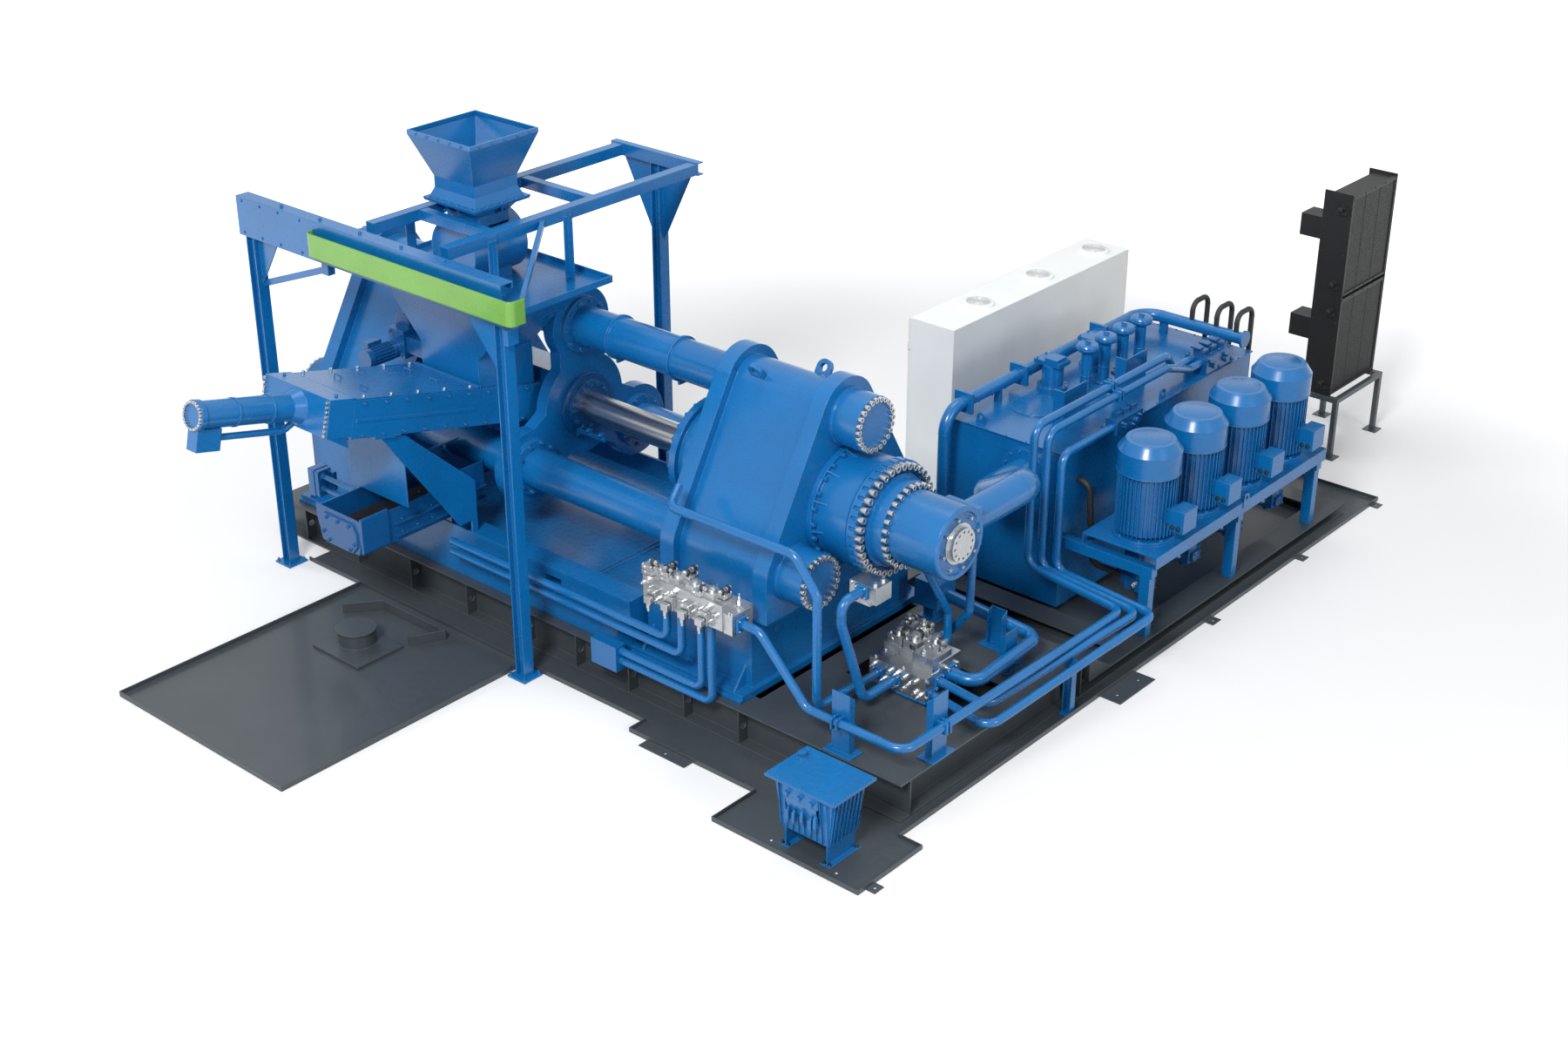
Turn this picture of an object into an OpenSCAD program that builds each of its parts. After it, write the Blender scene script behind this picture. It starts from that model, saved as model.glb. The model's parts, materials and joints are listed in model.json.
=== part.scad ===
// Hydraulic briquetting press: a horizontal main press with three tie rods, a sloping
// pre-compactor fed from a hopper gantry, a discharge trough, and an oil power unit behind.
// +X runs along the press axis towards the main cylinder, +Z is up, the origin lies on the
// floor under the press axis.

/* [Main press] */
// Height of the press axis above the floor
press_z = 2080; // [2060:5:2100]
// Radius of the circle that carries the three tie rods
rod_circle = 905; // [895:1:915]
// Diameter of a tie rod
rod_d = 420; // [400:2:430]
// Diameter of the sleeve nut at each end of a tie rod
nut_d = 560; // [540:2:570]
// How far a sleeve nut stands out of the crosshead
nut_len = 316; // [290:2:340]
// Distance of the crosshead strap edge from the rod centres
strap_r = 390; // [370:2:400]
// Thickness of each crosshead strap
strap_t = 180; // [160:2:200]
// Distance of the crosshead side panels from the rod centres
panel_r = 290; // [285:1:300]
// X of the inner face of the main crosshead
main_head_x = -340; // [-360:5:-320]
// Length of the main crosshead over both straps
main_head_len = 1380; // [1360:5:1400]
// X of the inner face of the die crosshead
die_head_x = -4280; // [-4290:5:-4275]
// Length of the die crosshead over both straps
die_head_len = 1400; // [1380:5:1420]
// Radius of a lobe of the front plate
lobe_r = 400; // [390:2:405]
// Thickness of the front plate
plate_t = 150; // [140:2:170]

/* [Main cylinder] */
// Diameter of the main cylinder barrel
barrel_d = 1120; // [1100:5:1130]
// Diameter of the front flange
front_flange_d = 1160; // [1140:5:1180]
// Length of the barrel in front of the main crosshead
front_len = 440; // [420:5:450]
// Length of the barrel behind the main crosshead
rear_len = 560; // [550:5:600]
// Bore of the main cylinder
piston_d = 880; // [860:5:890]
// Diameter of the main ram
ram_d = 300; // [296:1:304]
// Diameter of the rear neck
neck_d = 860; // [856:1:868]
// Diameter of the rear cap
cap_d = 736; // [730:1:740]
// Length of the rear cap
cap_len = 600; // [560:5:640]
// Stroke of the main ram
ram_stroke = 1350; // [1200:10:1400]

/* [Pre-compactor] */
// X of the middle of the pre-compactor, hopper and trough group
feed_x = -3320; // [-3325:1:-3315]
// Slope of the pre-compactor
slope = 14; // [13.5:0.5:14.5]
// Width of the pre-compactor box
box_w = 1000; // [980:5:1010]
// Wall of the pre-compactor box
box_wall = 30; // [24:1:34]
// Height of the pressing channel
channel_h = 300; // [298:1:301]
// Distance from the press axis to the outer end of the box
box_out = 2900; // [2880:5:2940]
// Diameter of the pre-compactor cylinder
pc_cyl_d = 270; // [260:2:280]
// Length of the pre-compactor cylinder beyond its flange
pc_cyl_len = 1176; // [1160:4:1190]
// Diameter of the pre-compactor rod
pc_rod_d = 120; // [110:2:130]
// Stroke of the pre-compactor slab
pc_stroke = 1100; // [1000:10:1110]

/* [Hopper and feeder] */
// Y of the middle of the hopper
hopper_y = -615; // [-620:5:-610]
// Height of the hopper rim
hopper_top = 5050; // [5000:10:5100]
// Width of the hopper mouth
hopper_w = 920; // [880:10:960]
// Width of the hopper neck
neck_w = 600; // [590:5:610]
// Sheet thickness of hopper, feeder and chute
sheet = 12; // [8:1:14]
// Diameter of the feeder drum
drum_d = 660; // [640:5:670]
// Height of the platform top
platform_z = 3502; // [3490:2:3510]
// Half width of the lower chute
chute_half = 440; // [430:2:450]

/* [Gantry] */
// Height of the top of the front beam
beam_top = 4240; // [4220:5:4260]
// Height of the front beam
beam_h = 420; // [400:5:440]
// X of the right end of the front beam
beam_right = -1480; // [-1500:5:-1460]
// X of the left end of the front beam
beam_left = -5490; // [-5520:5:-5460]
// Side of the square roof tubes
tube_w = 120; // [110:2:124]
// Side of the gantry columns
column_w = 130; // [120:2:140]

/* [Bed and base] */
// Height of the base frame
base_h = 410; // [400:2:420]
// Height of the bed top under the crossheads
bed_top = 1200; // [1190:5:1210]
// Half width of the base frame
base_half = 1520; // [1500:5:1540]
// Width of a base frame flange
flange_w = 300; // [280:5:310]
// Height of the lower base frame under the power unit
low_h = 140; // [130:5:150]
// Lip height of the drip trays
lip = 50; // [40:2:60]

/* [Power unit] */
// Length of the oil tank
tank_len = 3710; // [3680:10:3730]
// Width of the oil tank
tank_w = 1480; // [1460:5:1490]
// Height of the tank top
tank_top = 1870; // [1860:5:1890]
// Diameter of a pump motor
motor_d = 660; // [640:5:680]
// Distance between pump motors
motor_pitch = 885; // [875:5:895]
// Height of the motor bench
bench_z = 1080; // [1070:5:1100]
// Number of cooling fins on a motor
fin_count = 40; // [32:2:48]
// Height of the control cabinet
cabinet_h = 2200; // [2150:10:2250]
// Height of the cooler stand
stand_z = 780; // [760:5:800]
// Height of one cooler
cooler_h = 1270; // [1240:10:1290]
// Radius of the pressure pipes
pipe_r = 45; // [42:1:48]

/* [Hidden] */
$fn = 64;

blue = [0.08, 0.36, 0.70];
dark_blue = [0.05, 0.20, 0.45];
dark_grey = [0.20, 0.22, 0.24];
steel = [0.78, 0.79, 0.80];
run = 0.3;                 // running and seating clearance
fit = 0.05;                // running fit of a guided rod
rod_r = rod_d / 2;
nut_r = nut_d / 2;
rod_angles = [90, 210, 330];
rod_y = rod_circle * cos(30);
main_head_end = main_head_x + main_head_len;
die_head_end = die_head_x - die_head_len;
plate_x = -2550;           // right face of the front plate
barrel_end = main_head_end + rear_len;
cap_x = barrel_end + 200;  // where the rear cap leaves the neck
gland_r = ram_d / 2 + fit;
pc_in = 1262;              // slab face distance at rest
slab_len = 1150;
top_w = 170;               // upper face of the pre-compactor box, across the slope
cover_t = 15;
flange_t = 18;
web_t = 14;
tray_t = 6;
tank_x = 300;
tank_y = 2640;
valve_a_y = tank_y + tank_len - 970;
tank_z = 80;
bench_x = 2060;
bench_w = 900;
motor_x = 2530;
motor_y = 3050;
cabinet_x = -1285;
cabinet_y = 3960;
cabinet_w = 625;
cabinet_len = 3580;
door_t = 20;
cooler_x = 1600;
cooler_y = 8100;
cooler_w = 370;
cooler_len = 1100;
fan_r = 390;
drum_z = platform_z + drum_d / 2 + 8;

// Centre of the tie rod at angle a, as [y, z]
function rod_at(a) = [rod_circle * cos(a), press_z + rod_circle * sin(a)];
function unit(v) = v / norm(v);

// ---------------------------------------------------------------- placing helpers
// Extrudes a [y, z] outline along +X, from x over a length t
module yz(x, t) translate([x, 0, 0]) rotate([90, 0, 90]) linear_extrude(t) children();
// Extrudes an [x, z] outline along +Y, from y over a length t
module xz(y, t) translate([0, y + t, 0]) rotate([90, 0, 0]) linear_extrude(t) children();
// A round bar along +X
module bar_x(x, len, r) translate([x, 0, 0]) rotate([0, 90, 0]) cylinder(h = len, r = r);
// A round bar along +Y
module bar_y(y, len, r) translate([0, y, 0]) rotate([-90, 0, 0]) cylinder(h = len, r = r);
// A box given by two opposite corners
module block(a, b) translate(a) cube(b - a);
// Children turned into the frame of the sloping pre-compactor: -Y runs outwards
module compactor_frame() translate([feed_x, 0, press_z]) rotate([-slope, 0, 0]) children();

// A cap screw on a face, its head pointing along +Z
module cap_screw(d, h) difference() {
  cylinder(h = h, r = d / 2, $fn = 24);
  translate([0, 0, h * 0.45]) cylinder(h = h, r = d * 0.27, $fn = 6);
}
// A ring of cap screws round +Z
module screw_ring(count, r, d, h, turn = 0)
  for (i = [0:count - 1]) rotate(turn + i * 360 / count) translate([r, 0, 0]) cap_screw(d, h);

// One bend of a pipe at corner b, between the points a and c
module pipe_bend(a, b, c, r, bend) {
  d1 = unit(b - a);
  d2 = unit(c - b);
  turn = acos(d1 * d2);
  n = unit(cross(d1, d2));
  e = cross(n, d1);
  s = b - d1 * bend * tan(turn / 2);
  o = s + e * bend;
  multmatrix([[-e.x, d1.x, n.x, o.x], [-e.y, d1.y, n.y, o.y], [-e.z, d1.z, n.z, o.z], [0, 0, 0, 1]])
    rotate_extrude(angle = turn, $fn = 48) translate([bend, 0]) circle(r, $fn = 24);
}
// A straight pipe from a to b
module pipe_straight(a, b, r) {
  d = b - a;
  translate(a) rotate([0, acos(d.z / norm(d)), atan2(d.y, d.x)]) cylinder(h = norm(d), r = r, $fn = 24);
}
// A pipe along a list of corners: straights, round bends, and a weld bead at each end of a bend
module pipe(pts, r, bend) {
  last = len(pts) - 1;
  bead = 4;
  function trim(i) = i <= 0 || i >= last ? 0
    : bend * tan(acos(unit(pts[i] - pts[i - 1]) * unit(pts[i + 1] - pts[i])) / 2);
  for (i = [0:last - 1]) let (d = unit(pts[i + 1] - pts[i]), a = pts[i] + d * trim(i),
    b = pts[i + 1] - d * trim(i + 1)) {
    pipe_straight(a, b, r);
    if (i > 0) pipe_straight(a - d * bead, a + d * bead, r + 1.5);
    if (i < last - 1) pipe_straight(b - d * bead, b + d * bead, r + 1.5);
  }
  for (i = [1:last - 1]) pipe_bend(pts[i - 1], pts[i], pts[i + 1], r, bend);
}
// A square mounting flange with four screws, at the start of a pipe that runs along +Z
module pipe_flange(w, t) {
  translate([-w / 2, -w / 2, 0]) cube([w, w, t]);
  for (i = [-1, 1], j = [-1, 1]) translate([i * w * 0.36, j * w * 0.36, t]) cap_screw(w * 0.14, w * 0.1);
}

// ---------------------------------------------------------------- press outlines
// Outline that wraps the three tie rods at a distance r
module rod_wrap(r) {
  for (a = rod_angles) translate(rod_at(a)) circle(r);
  polygon([for (a = rod_angles, d = [-60, 60]) rod_at(a) + (r - fit) * [cos(a + d), sin(a + d)]]);
}
// Crosshead outline: the wrap, with straight legs down to the bed
module head_outline(r) {
  rod_wrap(r);
  translate([-rod_y - r, bed_top]) square([2 * (rod_y + r), rod_at(210)[1] - bed_top]);
}
// Two straps with the recessed box of side panels between them
module head_body(x, len) {
  yz(x, strap_t) head_outline(strap_r);
  yz(x + strap_t, len - 2 * strap_t) head_outline(panel_r);
  yz(x + len - strap_t, strap_t) head_outline(strap_r);
}
module rod_bores(x, len) for (a = rod_angles)
  translate([0, rod_at(a)[0], rod_at(a)[1]]) bar_x(x - 1, len + 2, rod_r + run);

module lifting_lug(w, h, t) difference() {
  union() {
    translate([-w / 2, -t / 2, 0]) cube([w, t, h - w / 2]);
    translate([0, t / 2, h - w / 2]) rotate([90, 0, 0]) cylinder(h = t, r = w / 2, $fn = 32);
  }
  translate([0, t, h - w / 2]) rotate([90, 0, 0]) cylinder(h = 2 * t, r = w / 4, $fn = 32);
}

module main_crosshead() color(blue) difference() {
  union() {
    head_body(main_head_x, main_head_len);
    // one lifting lug on each side of the top tube
    for (p = [[main_head_x + 440, -1], [main_head_x + 890, 1]])
      translate([p.x, p.y * panel_r * 0.62, rod_at(90)[1] + panel_r * 0.62])
        rotate([p.y * -32, 0, 0]) lifting_lug(170, 200, 50);
  }
  rod_bores(main_head_x, main_head_len);
  translate([0, 0, press_z]) bar_x(main_head_x - 1, main_head_len + 2, barrel_d / 2 + run);
}

module die_crosshead() color(blue) difference() {
  head_body(die_head_end, die_head_len);
  rod_bores(die_head_end, die_head_len);
}

module tie_rods() color(blue) for (a = rod_angles)
  translate([0, rod_at(a)[0], rod_at(a)[1]]) {
    bar_x(die_head_end - nut_len, main_head_end + 2 * nut_len - die_head_end, rod_r);
    for (x = [die_head_end - nut_len, main_head_end]) bar_x(x, nut_len, nut_r);
    bar_x(main_head_end, 30, nut_r + 12);
    bar_x(die_head_end - 30, 30, nut_r + 12);
    // joint rings of the top rod, each with a lug underneath
    if (a == 90) for (x = [-1980, -1110]) {
      bar_x(x - 15, 30, rod_r + 25);
      block([x - 12, -60, -rod_r - 60], [x + 12, 60, -rod_r + 20]);
    }
  }

nut_screw_d = 54;
module rod_end_bolts() color(steel) for (a = rod_angles)
  translate([0, rod_at(a)[0], rod_at(a)[1]]) {
    translate([main_head_end + nut_len, 0, 0]) rotate([0, 90, 0])
      screw_ring(24, nut_r - 30, nut_screw_d, 34);
    translate([die_head_end - nut_len, 0, 0]) rotate([0, -90, 0])
      screw_ring(24, nut_r - 30, nut_screw_d, 34);
  }

// ---------------------------------------------------------------- main cylinder
module on_axis() translate([0, 0, press_z]) rotate([0, 90, 0]) children();
rear_flange_r = rod_circle - nut_r - 15;
bore_front = main_head_x - front_len + 180;

module main_cylinder() color(blue) on_axis() {
  front = main_head_x - front_len;
  difference() {
    rotate_extrude($fn = 96) polygon([[gland_r, front], [front_flange_d / 2, front],
      [front_flange_d / 2, front + 80], [barrel_d / 2 - 40, front + 80],
      [barrel_d / 2 - 40, main_head_x], [barrel_d / 2, main_head_x],
      [barrel_d / 2, main_head_end], [rear_flange_r, main_head_end],
      [rear_flange_r, main_head_end + 60], [barrel_d / 2, main_head_end + 60],
      [barrel_d / 2, barrel_end - 120], [barrel_d / 2 + 25, barrel_end - 90],
      [barrel_d / 2 + 25, barrel_end], [piston_d / 2 + 50, barrel_end],
      [piston_d / 2 + 50, barrel_end - 30], [piston_d / 2 + 20, barrel_end - 30],
      [piston_d / 2 + 20, barrel_end], [piston_d / 2, barrel_end],
      [piston_d / 2, bore_front], [gland_r, bore_front]]);
    // wrench pockets behind the end screws
    for (i = [0:35]) rotate(i * 10) translate([barrel_d / 2 + 20, 0, barrel_end - 70])
      cylinder(h = 80, r = 18, $fn = 24);
  }
  // ribs between the rear flange and the barrel
  for (i = [0:11]) rotate(i * 30 + 7.5) rotate([90, 0, 0]) translate([0, 0, -8]) linear_extrude(16)
    polygon([[barrel_d / 2 - 5, main_head_end + 60], [rear_flange_r - 8, main_head_end + 60],
      [barrel_d / 2 - 5, main_head_end + 200]]);
  // screws of the rear flange and of the front flange rim
  translate([0, 0, main_head_end + 60]) screw_ring(24, barrel_d / 2 + 30, 44, 36);
  translate([0, 0, front]) mirror([0, 0, 1]) screw_ring(24, front_flange_d / 2 - 45, 50, 36);
}

end_screws = 36;
module cylinder_bolts() color(steel) on_axis() {
  translate([0, 0, barrel_end]) screw_ring(end_screws, piston_d / 2 + 92, 74, 62);
  translate([0, 0, cap_x]) screw_ring(28, neck_d / 2 - 31, 58, 54);
}

module rear_cap() color(blue) on_axis() rotate_extrude($fn = 96) polygon([[0, barrel_end - 60],
  [piston_d / 2 - run, barrel_end - 60], [piston_d / 2 - run, barrel_end],
  [piston_d / 2 + 20, barrel_end], [piston_d / 2 + 20, barrel_end + 45],
  [neck_d / 2, barrel_end + 45], [neck_d / 2, cap_x], [cap_d / 2, cap_x],
  [cap_d / 2, cap_x + cap_len - 15], [cap_d / 2 - 14, cap_x + cap_len],
  [cap_d / 2 - 50, cap_x + cap_len], [cap_d / 2 - 66, cap_x + cap_len - 28],
  [0, cap_x + cap_len - 28]]);

module cap_flange() color(steel) on_axis() translate([0, 0, cap_x + cap_len - 28]) {
  difference() {
    union() {
      cylinder(h = 18, r = 205);
      cylinder(h = 72, r = 172);
    }
    for (i = [0:11]) rotate(i * 30) translate([135, 0, 30]) cylinder(h = 50, r = 13, $fn = 24);
  }
  screw_ring(8, 262, 34, 46, 10);
}

module main_ram() color(steel) on_axis() rotate_extrude($fn = 96) {
  nose = plate_x - plate_t - 100;
  head = nose + 3960;
  polygon([[0, nose], [ram_d / 2 - 8, nose], [ram_d / 2, nose + 8], [ram_d / 2, head],
    [piston_d / 2 - run, head], [piston_d / 2 - run, head + 240], [0, head + 240]]);
}

// ---------------------------------------------------------------- front plate and chamber
module front_plate() color(blue) difference() {
  union() {
    yz(plate_x - plate_t, plate_t) {
      translate([0, press_z]) circle(r = 560);
      for (a = rod_angles) {
        translate(rod_at(a)) circle(r = lobe_r);
        translate([0, press_z]) rotate(a) translate([0, -lobe_r * 0.8]) square([rod_circle, lobe_r * 1.6]);
      }
    }
    for (a = rod_angles) translate([plate_x, rod_at(a)[0], rod_at(a)[1]]) rotate([0, 90, 0]) {
      cylinder(h = 55, r = rod_r + 88);
      translate([0, 0, 55]) screw_ring(10, rod_r + 54, 40, 26, 18);
    }
  }
  rod_bores(plate_x - plate_t, plate_t + 60);
  translate([0, 0, press_z]) bar_x(plate_x - plate_t - 1, plate_t + 2, guide_r + run);
}

guide_r = ram_d / 2 + 50;
module ram_guide() color(dark_blue) on_axis() {
  rotate_extrude($fn = 96) polygon([[gland_r, plate_x - plate_t], [guide_r, plate_x - plate_t],
    [guide_r, plate_x], [guide_r + 150, plate_x], [guide_r + 150, plate_x + 50],
    [guide_r + 70, plate_x + 50], [guide_r + 70, plate_x + 80], [gland_r, plate_x + 80]]);
  translate([0, 0, plate_x + 80]) screw_ring(12, guide_r + 36, 44, 28);
}

chamber_half = 300;
module press_chamber() color(blue) {
  chamber_x1 = plate_x - plate_t - run;
  difference() {
    compactor_frame() block([die_head_x + run - feed_x, -chamber_half, -chamber_half],
      [chamber_x1 - feed_x, chamber_half, chamber_half]);
    // bore that the ram closes at its front end, and the side mouth for the loose material
    translate([0, 0, press_z]) bar_x(die_head_x + 60, plate_x - plate_t - die_head_x, gland_r);
    compactor_frame() block([-box_w / 2 + box_wall, -chamber_half - 1, -channel_h / 2],
      [box_w / 2 - box_wall, 0, channel_h / 2]);
    // hairlines between the segments that stand round the bore, and those beside the mouth
    on_axis() for (a = [0:45:135]) rotate(a)
      translate([-2 * chamber_half, -run / 2, die_head_x])
        cube([4 * chamber_half, run, chamber_x1 - die_head_x + 2 * run]);
    compactor_frame() for (x = [box_wall - box_w / 2 - run, box_w / 2 - box_wall])
      block([x, -2 * chamber_half, -2 * chamber_half], [x + run, 2 * chamber_half, 2 * chamber_half]);
  }
  // ribbed ledge under the mouth of the pre-compactor
  compactor_frame() translate([0, -run, 0]) {
    block([box_w / 2 + 20, -chamber_half - 260, -chamber_half],
      [chamber_x1 - feed_x, -chamber_half, -chamber_half + 40]);
    for (x = [box_w / 2 + 20, plate_x - plate_t - feed_x - 20]) translate([x, 0, 0])
      rotate([90, 0, 90]) linear_extrude(20) polygon([[-chamber_half, -chamber_half + 40],
        [-chamber_half - 250, -chamber_half + 40], [-chamber_half, 150]]);
  }
}

// ---------------------------------------------------------------- pre-compactor
inlet_out = 1250;
inlet_in = 450;
module compactor_box() color(blue) compactor_frame() difference() {
  block([-box_w / 2, -box_out, -220], [box_w / 2, -chamber_half, top_w]);
  block([-box_w / 2 + box_wall, -box_out - 1, -channel_h / 2],
    [box_w / 2 - box_wall, -chamber_half + 1, channel_h / 2]);
  // feed inlet under the chute, and the service opening under the cover
  block([-chute_half + sheet, -inlet_out, 0], [chute_half - sheet, -inlet_in, top_w + 1]);
  block([-box_w / 2 + 90, -box_out + 120, 0], [box_w / 2 - 90, -inlet_out - 130, top_w + 1]);
}

module compactor_cover() color(blue) compactor_frame() {
  block([-box_w / 2 + 5, -box_out + 30, top_w], [box_w / 2 - 5, -inlet_out - 60, top_w + cover_t]);
  for (y = [-inlet_out - 55, -inlet_out - 20]) translate([0, y, 0])
    block([-box_w / 2 + 5, 0, top_w], [box_w / 2 - 5, 12, top_w + 28]);
}

collar_len = 300;
module compactor_cylinder() color(blue) compactor_frame() {
  rotate([90, 0, 0]) {
    difference() {
      union() {
        // square collar, tapered boss and tube
        translate([0, 0, box_out]) linear_extrude(collar_len) square([box_w, 390], center = true);
        translate([0, 0, box_out + collar_len]) rotate_extrude() polygon([[0, 0], [pc_cyl_d / 2 + 50, 0],
          [pc_cyl_d / 2, 110], [0, 110]]);
        translate([0, 0, box_out + 40]) cylinder(h = pc_cyl_len + 260, r = pc_cyl_d / 2);
        translate([0, 0, box_out + pc_cyl_len + 240]) cylinder(h = 60, r = pc_cyl_d / 2 + 16);
      }
      translate([0, 0, box_out - 1]) cylinder(h = 200, r = pc_rod_d / 2 + fit);
      translate([0, 0, box_out + 140]) cylinder(h = pc_cyl_len + 120, r = pc_cyl_d / 2 - 34);
    }
    // port block under the tube, with the oil pipe back to the flange
    translate([0, -pc_cyl_d / 2 - 100, box_out + pc_cyl_len + 20])
      linear_extrude(270) square([150, 220], center = true);
  }
  pipe([[0, -box_out - pc_cyl_len - 30, -pc_cyl_d / 2 - 100], [0, -box_out - 420, -pc_cyl_d / 2 - 100],
    [0, -box_out - collar_len + 10, -pc_cyl_d / 2 - 10]], 34, 120);
}

pc_face_screws = 8;
module compactor_bolts() color(steel) compactor_frame() {
  // screws of the end ring
  translate([0, -box_out - pc_cyl_len - 300, 0]) rotate([90, 0, 0])
    screw_ring(24, pc_cyl_d / 2 - 6, 28, 24);
  // screws down both edges of the flange
  for (s = [-1, 1], i = [0:pc_face_screws - 1])
    translate([s * (box_w / 2 - 20), -box_out - collar_len, -165 + i * 330 / (pc_face_screws - 1)])
      rotate([90, 0, 0]) cap_screw(32, 28);
  // screws of the cover
  for (s = [-1, 1], i = [0:4])
    translate([s * (box_w / 2 - 35), -box_out + 130 + i * 345, top_w + cover_t]) cap_screw(34, 26);
}

module compactor_ram() color(steel) compactor_frame() {
  block([-box_w / 2 + box_wall + 1, -pc_in - slab_len, -channel_h / 2 + run],
    [box_w / 2 - box_wall - 1, -pc_in, channel_h / 2 - run]);
  rod_end = box_out + pc_cyl_len + 70;
  bar_y(-rod_end, rod_end - pc_in - slab_len, pc_rod_d / 2);
  bar_y(-rod_end - 100, 100, pc_cyl_d / 2 - 34 - run);
}

module compactor_stand() color(blue) {
  // foot plate under the box, and two webs that reach back to the bed beside the trough
  compactor_frame() {
    block([-box_w / 2, -2600, -250], [box_w / 2, -2330, -220]);
    for (i = [0:3]) translate([-360 + i * 240, -2565, -250]) rotate([180, 0, 0]) cap_screw(40, 24);
  }
  under = press_z - 250 / cos(slope);
  for (s = [-1, 1]) translate([feed_x + s * (box_w / 2 - 45), 0, 0])
    yz(-12, 24) polygon([[-2480, under + 2480 * tan(slope)], [-2180, under + 2180 * tan(slope)],
      [-base_half + 200, trough_top + 60], [-base_half + 200, channel_top], [-base_half + 125, channel_top],
      [-base_half + 125, 1120], [-1560, 1120]]);
  xz(-2200, 14) polygon([[feed_x - box_w / 2 + 57, 1560], [feed_x + box_w / 2 - 57, 1560],
    [feed_x + box_w / 2 - 57, under + 2200 * tan(slope)],
    [feed_x - box_w / 2 + 57, under + 2200 * tan(slope)]]);
}

// ---------------------------------------------------------------- hopper and feeder
// A hollow frustum between two rectangles, as four flat sheets meeting at the corners
module square_funnel(w0, d0, z0, w1, d1, z1) difference() {
  hull() {
    translate([-w0 / 2, -d0 / 2, z0]) cube([w0, d0, 0.1]);
    translate([-w1 / 2, -d1 / 2, z1 - 0.1]) cube([w1, d1, 0.1]);
  }
  hull() {
    translate([-w0 / 2 + sheet, -d0 / 2 + sheet, z0 - 0.1]) cube([w0 - 2 * sheet, d0 - 2 * sheet, 0.1]);
    translate([-w1 / 2 + sheet, -d1 / 2 + sheet, z1]) cube([w1 - 2 * sheet, d1 - 2 * sheet, 0.1]);
  }
}
module square_ring(w, d, z, h, t) difference() {
  translate([-w / 2, -d / 2, z]) cube([w, d, h]);
  translate([-w / 2 + t, -d / 2 + t, z - 1]) cube([w - 2 * t, d - 2 * t, h + 2]);
}
hopper_x = -3350;
neck_top = hopper_top - 480;
neck_bottom = neck_top - 120;
joint_z = neck_bottom - 115;
neck_d0 = neck_w - 20;

module hopper() color(blue) translate([hopper_x, hopper_y, 0]) {
  square_ring(hopper_w + 20, hopper_w - 5, hopper_top - 45, 45, 18);
  square_funnel(neck_w, neck_d0, neck_top, hopper_w + 20, hopper_w - 5, hopper_top - 45);
  square_ring(neck_w, neck_d0, neck_bottom, neck_top - neck_bottom, sheet);
  square_funnel(neck_w + 90, neck_d0 + 90, joint_z + 20, neck_w, neck_d0, neck_bottom);
  square_ring(neck_w + 180, neck_d0 + 170, joint_z, 20, 50);
  for (i = [-3:3]) translate([i * (neck_w + 130) / 7, -neck_d0 / 2 - 66, joint_z + 20]) cap_screw(22, 16);
  for (i = [-3:3]) translate([neck_w / 2 + 70, i * (neck_w + 100) / 7, joint_z + 20]) cap_screw(22, 16);
  // screws on the outside of the rim
  for (i = [-2:2]) translate([i * hopper_w / 5.5, -hopper_w / 2 + 2.5, hopper_top - 22])
    rotate([90, 0, 0]) cap_screw(24, 12);
  for (i = [-2:2]) translate([hopper_w / 2 + 10, i * hopper_w / 5.5, hopper_top - 22])
    rotate([0, 90, 0]) cap_screw(24, 12);
}

throat_z = drum_z + drum_d / 2 - 75;
throat_w = neck_w - 140;
throat_d = neck_d0 - 160;
module funnel() color(blue) translate([hopper_x, hopper_y, 0]) {
  square_ring(neck_w + 170, neck_d0 + 160, joint_z - 16, 16, 70);
  square_funnel(throat_w, throat_d, joint_z - 130, neck_w + 40, neck_d0 + 30, joint_z - 16);
  square_ring(throat_w, throat_d, throat_z, joint_z - 130 - throat_z, sheet);
  // toggle clamps on the sides of the joint
  for (p = [[-120, -throat_d / 2 - 70, 0], [throat_w / 2 + 70, 60, 90]])
    translate([p.x, p.y, joint_z - 110]) rotate(p.z) {
        block([-60, -20, 0], [60, 78, 20]);
      block([-14, -10, 20], [14, 20, 94]);
    }
}

// Feeder housing: a drum across the press with an inlet on top and an outlet below
drum_len = 720;
outlet_w = 500;
outlet_len = drum_len - 205;
module feeder_drum() color(blue) translate([hopper_x, hopper_y, 0]) difference() {
  union() {
    translate([0, 0, drum_z]) bar_y(-drum_len / 2, drum_len, drum_d / 2);
    translate([-outlet_w / 2, -drum_len / 2 + 40, platform_z]) cube([outlet_w, outlet_len, drum_d / 2]);
    translate([0, 0, drum_z]) bar_y(drum_len / 2, 40, drum_d / 2 - 60);
  }
  translate([0, 0, drum_z]) bar_y(-drum_len / 2 + sheet, drum_len - 2 * sheet, drum_d / 2 - sheet);
  translate([0, 0, drum_z]) bar_y(-drum_len, 2 * drum_len, 40 + fit);
  // outlet, then inlet round the funnel throat
  translate([-outlet_w / 2 + sheet, -drum_len / 2 + 40 + sheet, platform_z - 1])
    cube([outlet_w - 2 * sheet, outlet_len - 2 * sheet, drum_d / 2]);
  translate([-throat_w / 2 - run, -throat_d / 2 - run, drum_z + 100])
    cube([throat_w + 2 * run, throat_d + 2 * run, drum_d]);
}

paddle_r = drum_d / 2 - 100;
module feeder_shaft() color(dark_blue) translate([hopper_x, hopper_y, drum_z]) {
  bar_y(-drum_len / 2 - 60, drum_len + 160, 40);
  for (i = [0:3]) translate([0, -270 + i * 150, 0]) rotate([0, i * 45, 0])
    translate([-paddle_r, 0, -12]) cube([2 * paddle_r, 90, 24]);
}

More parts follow.
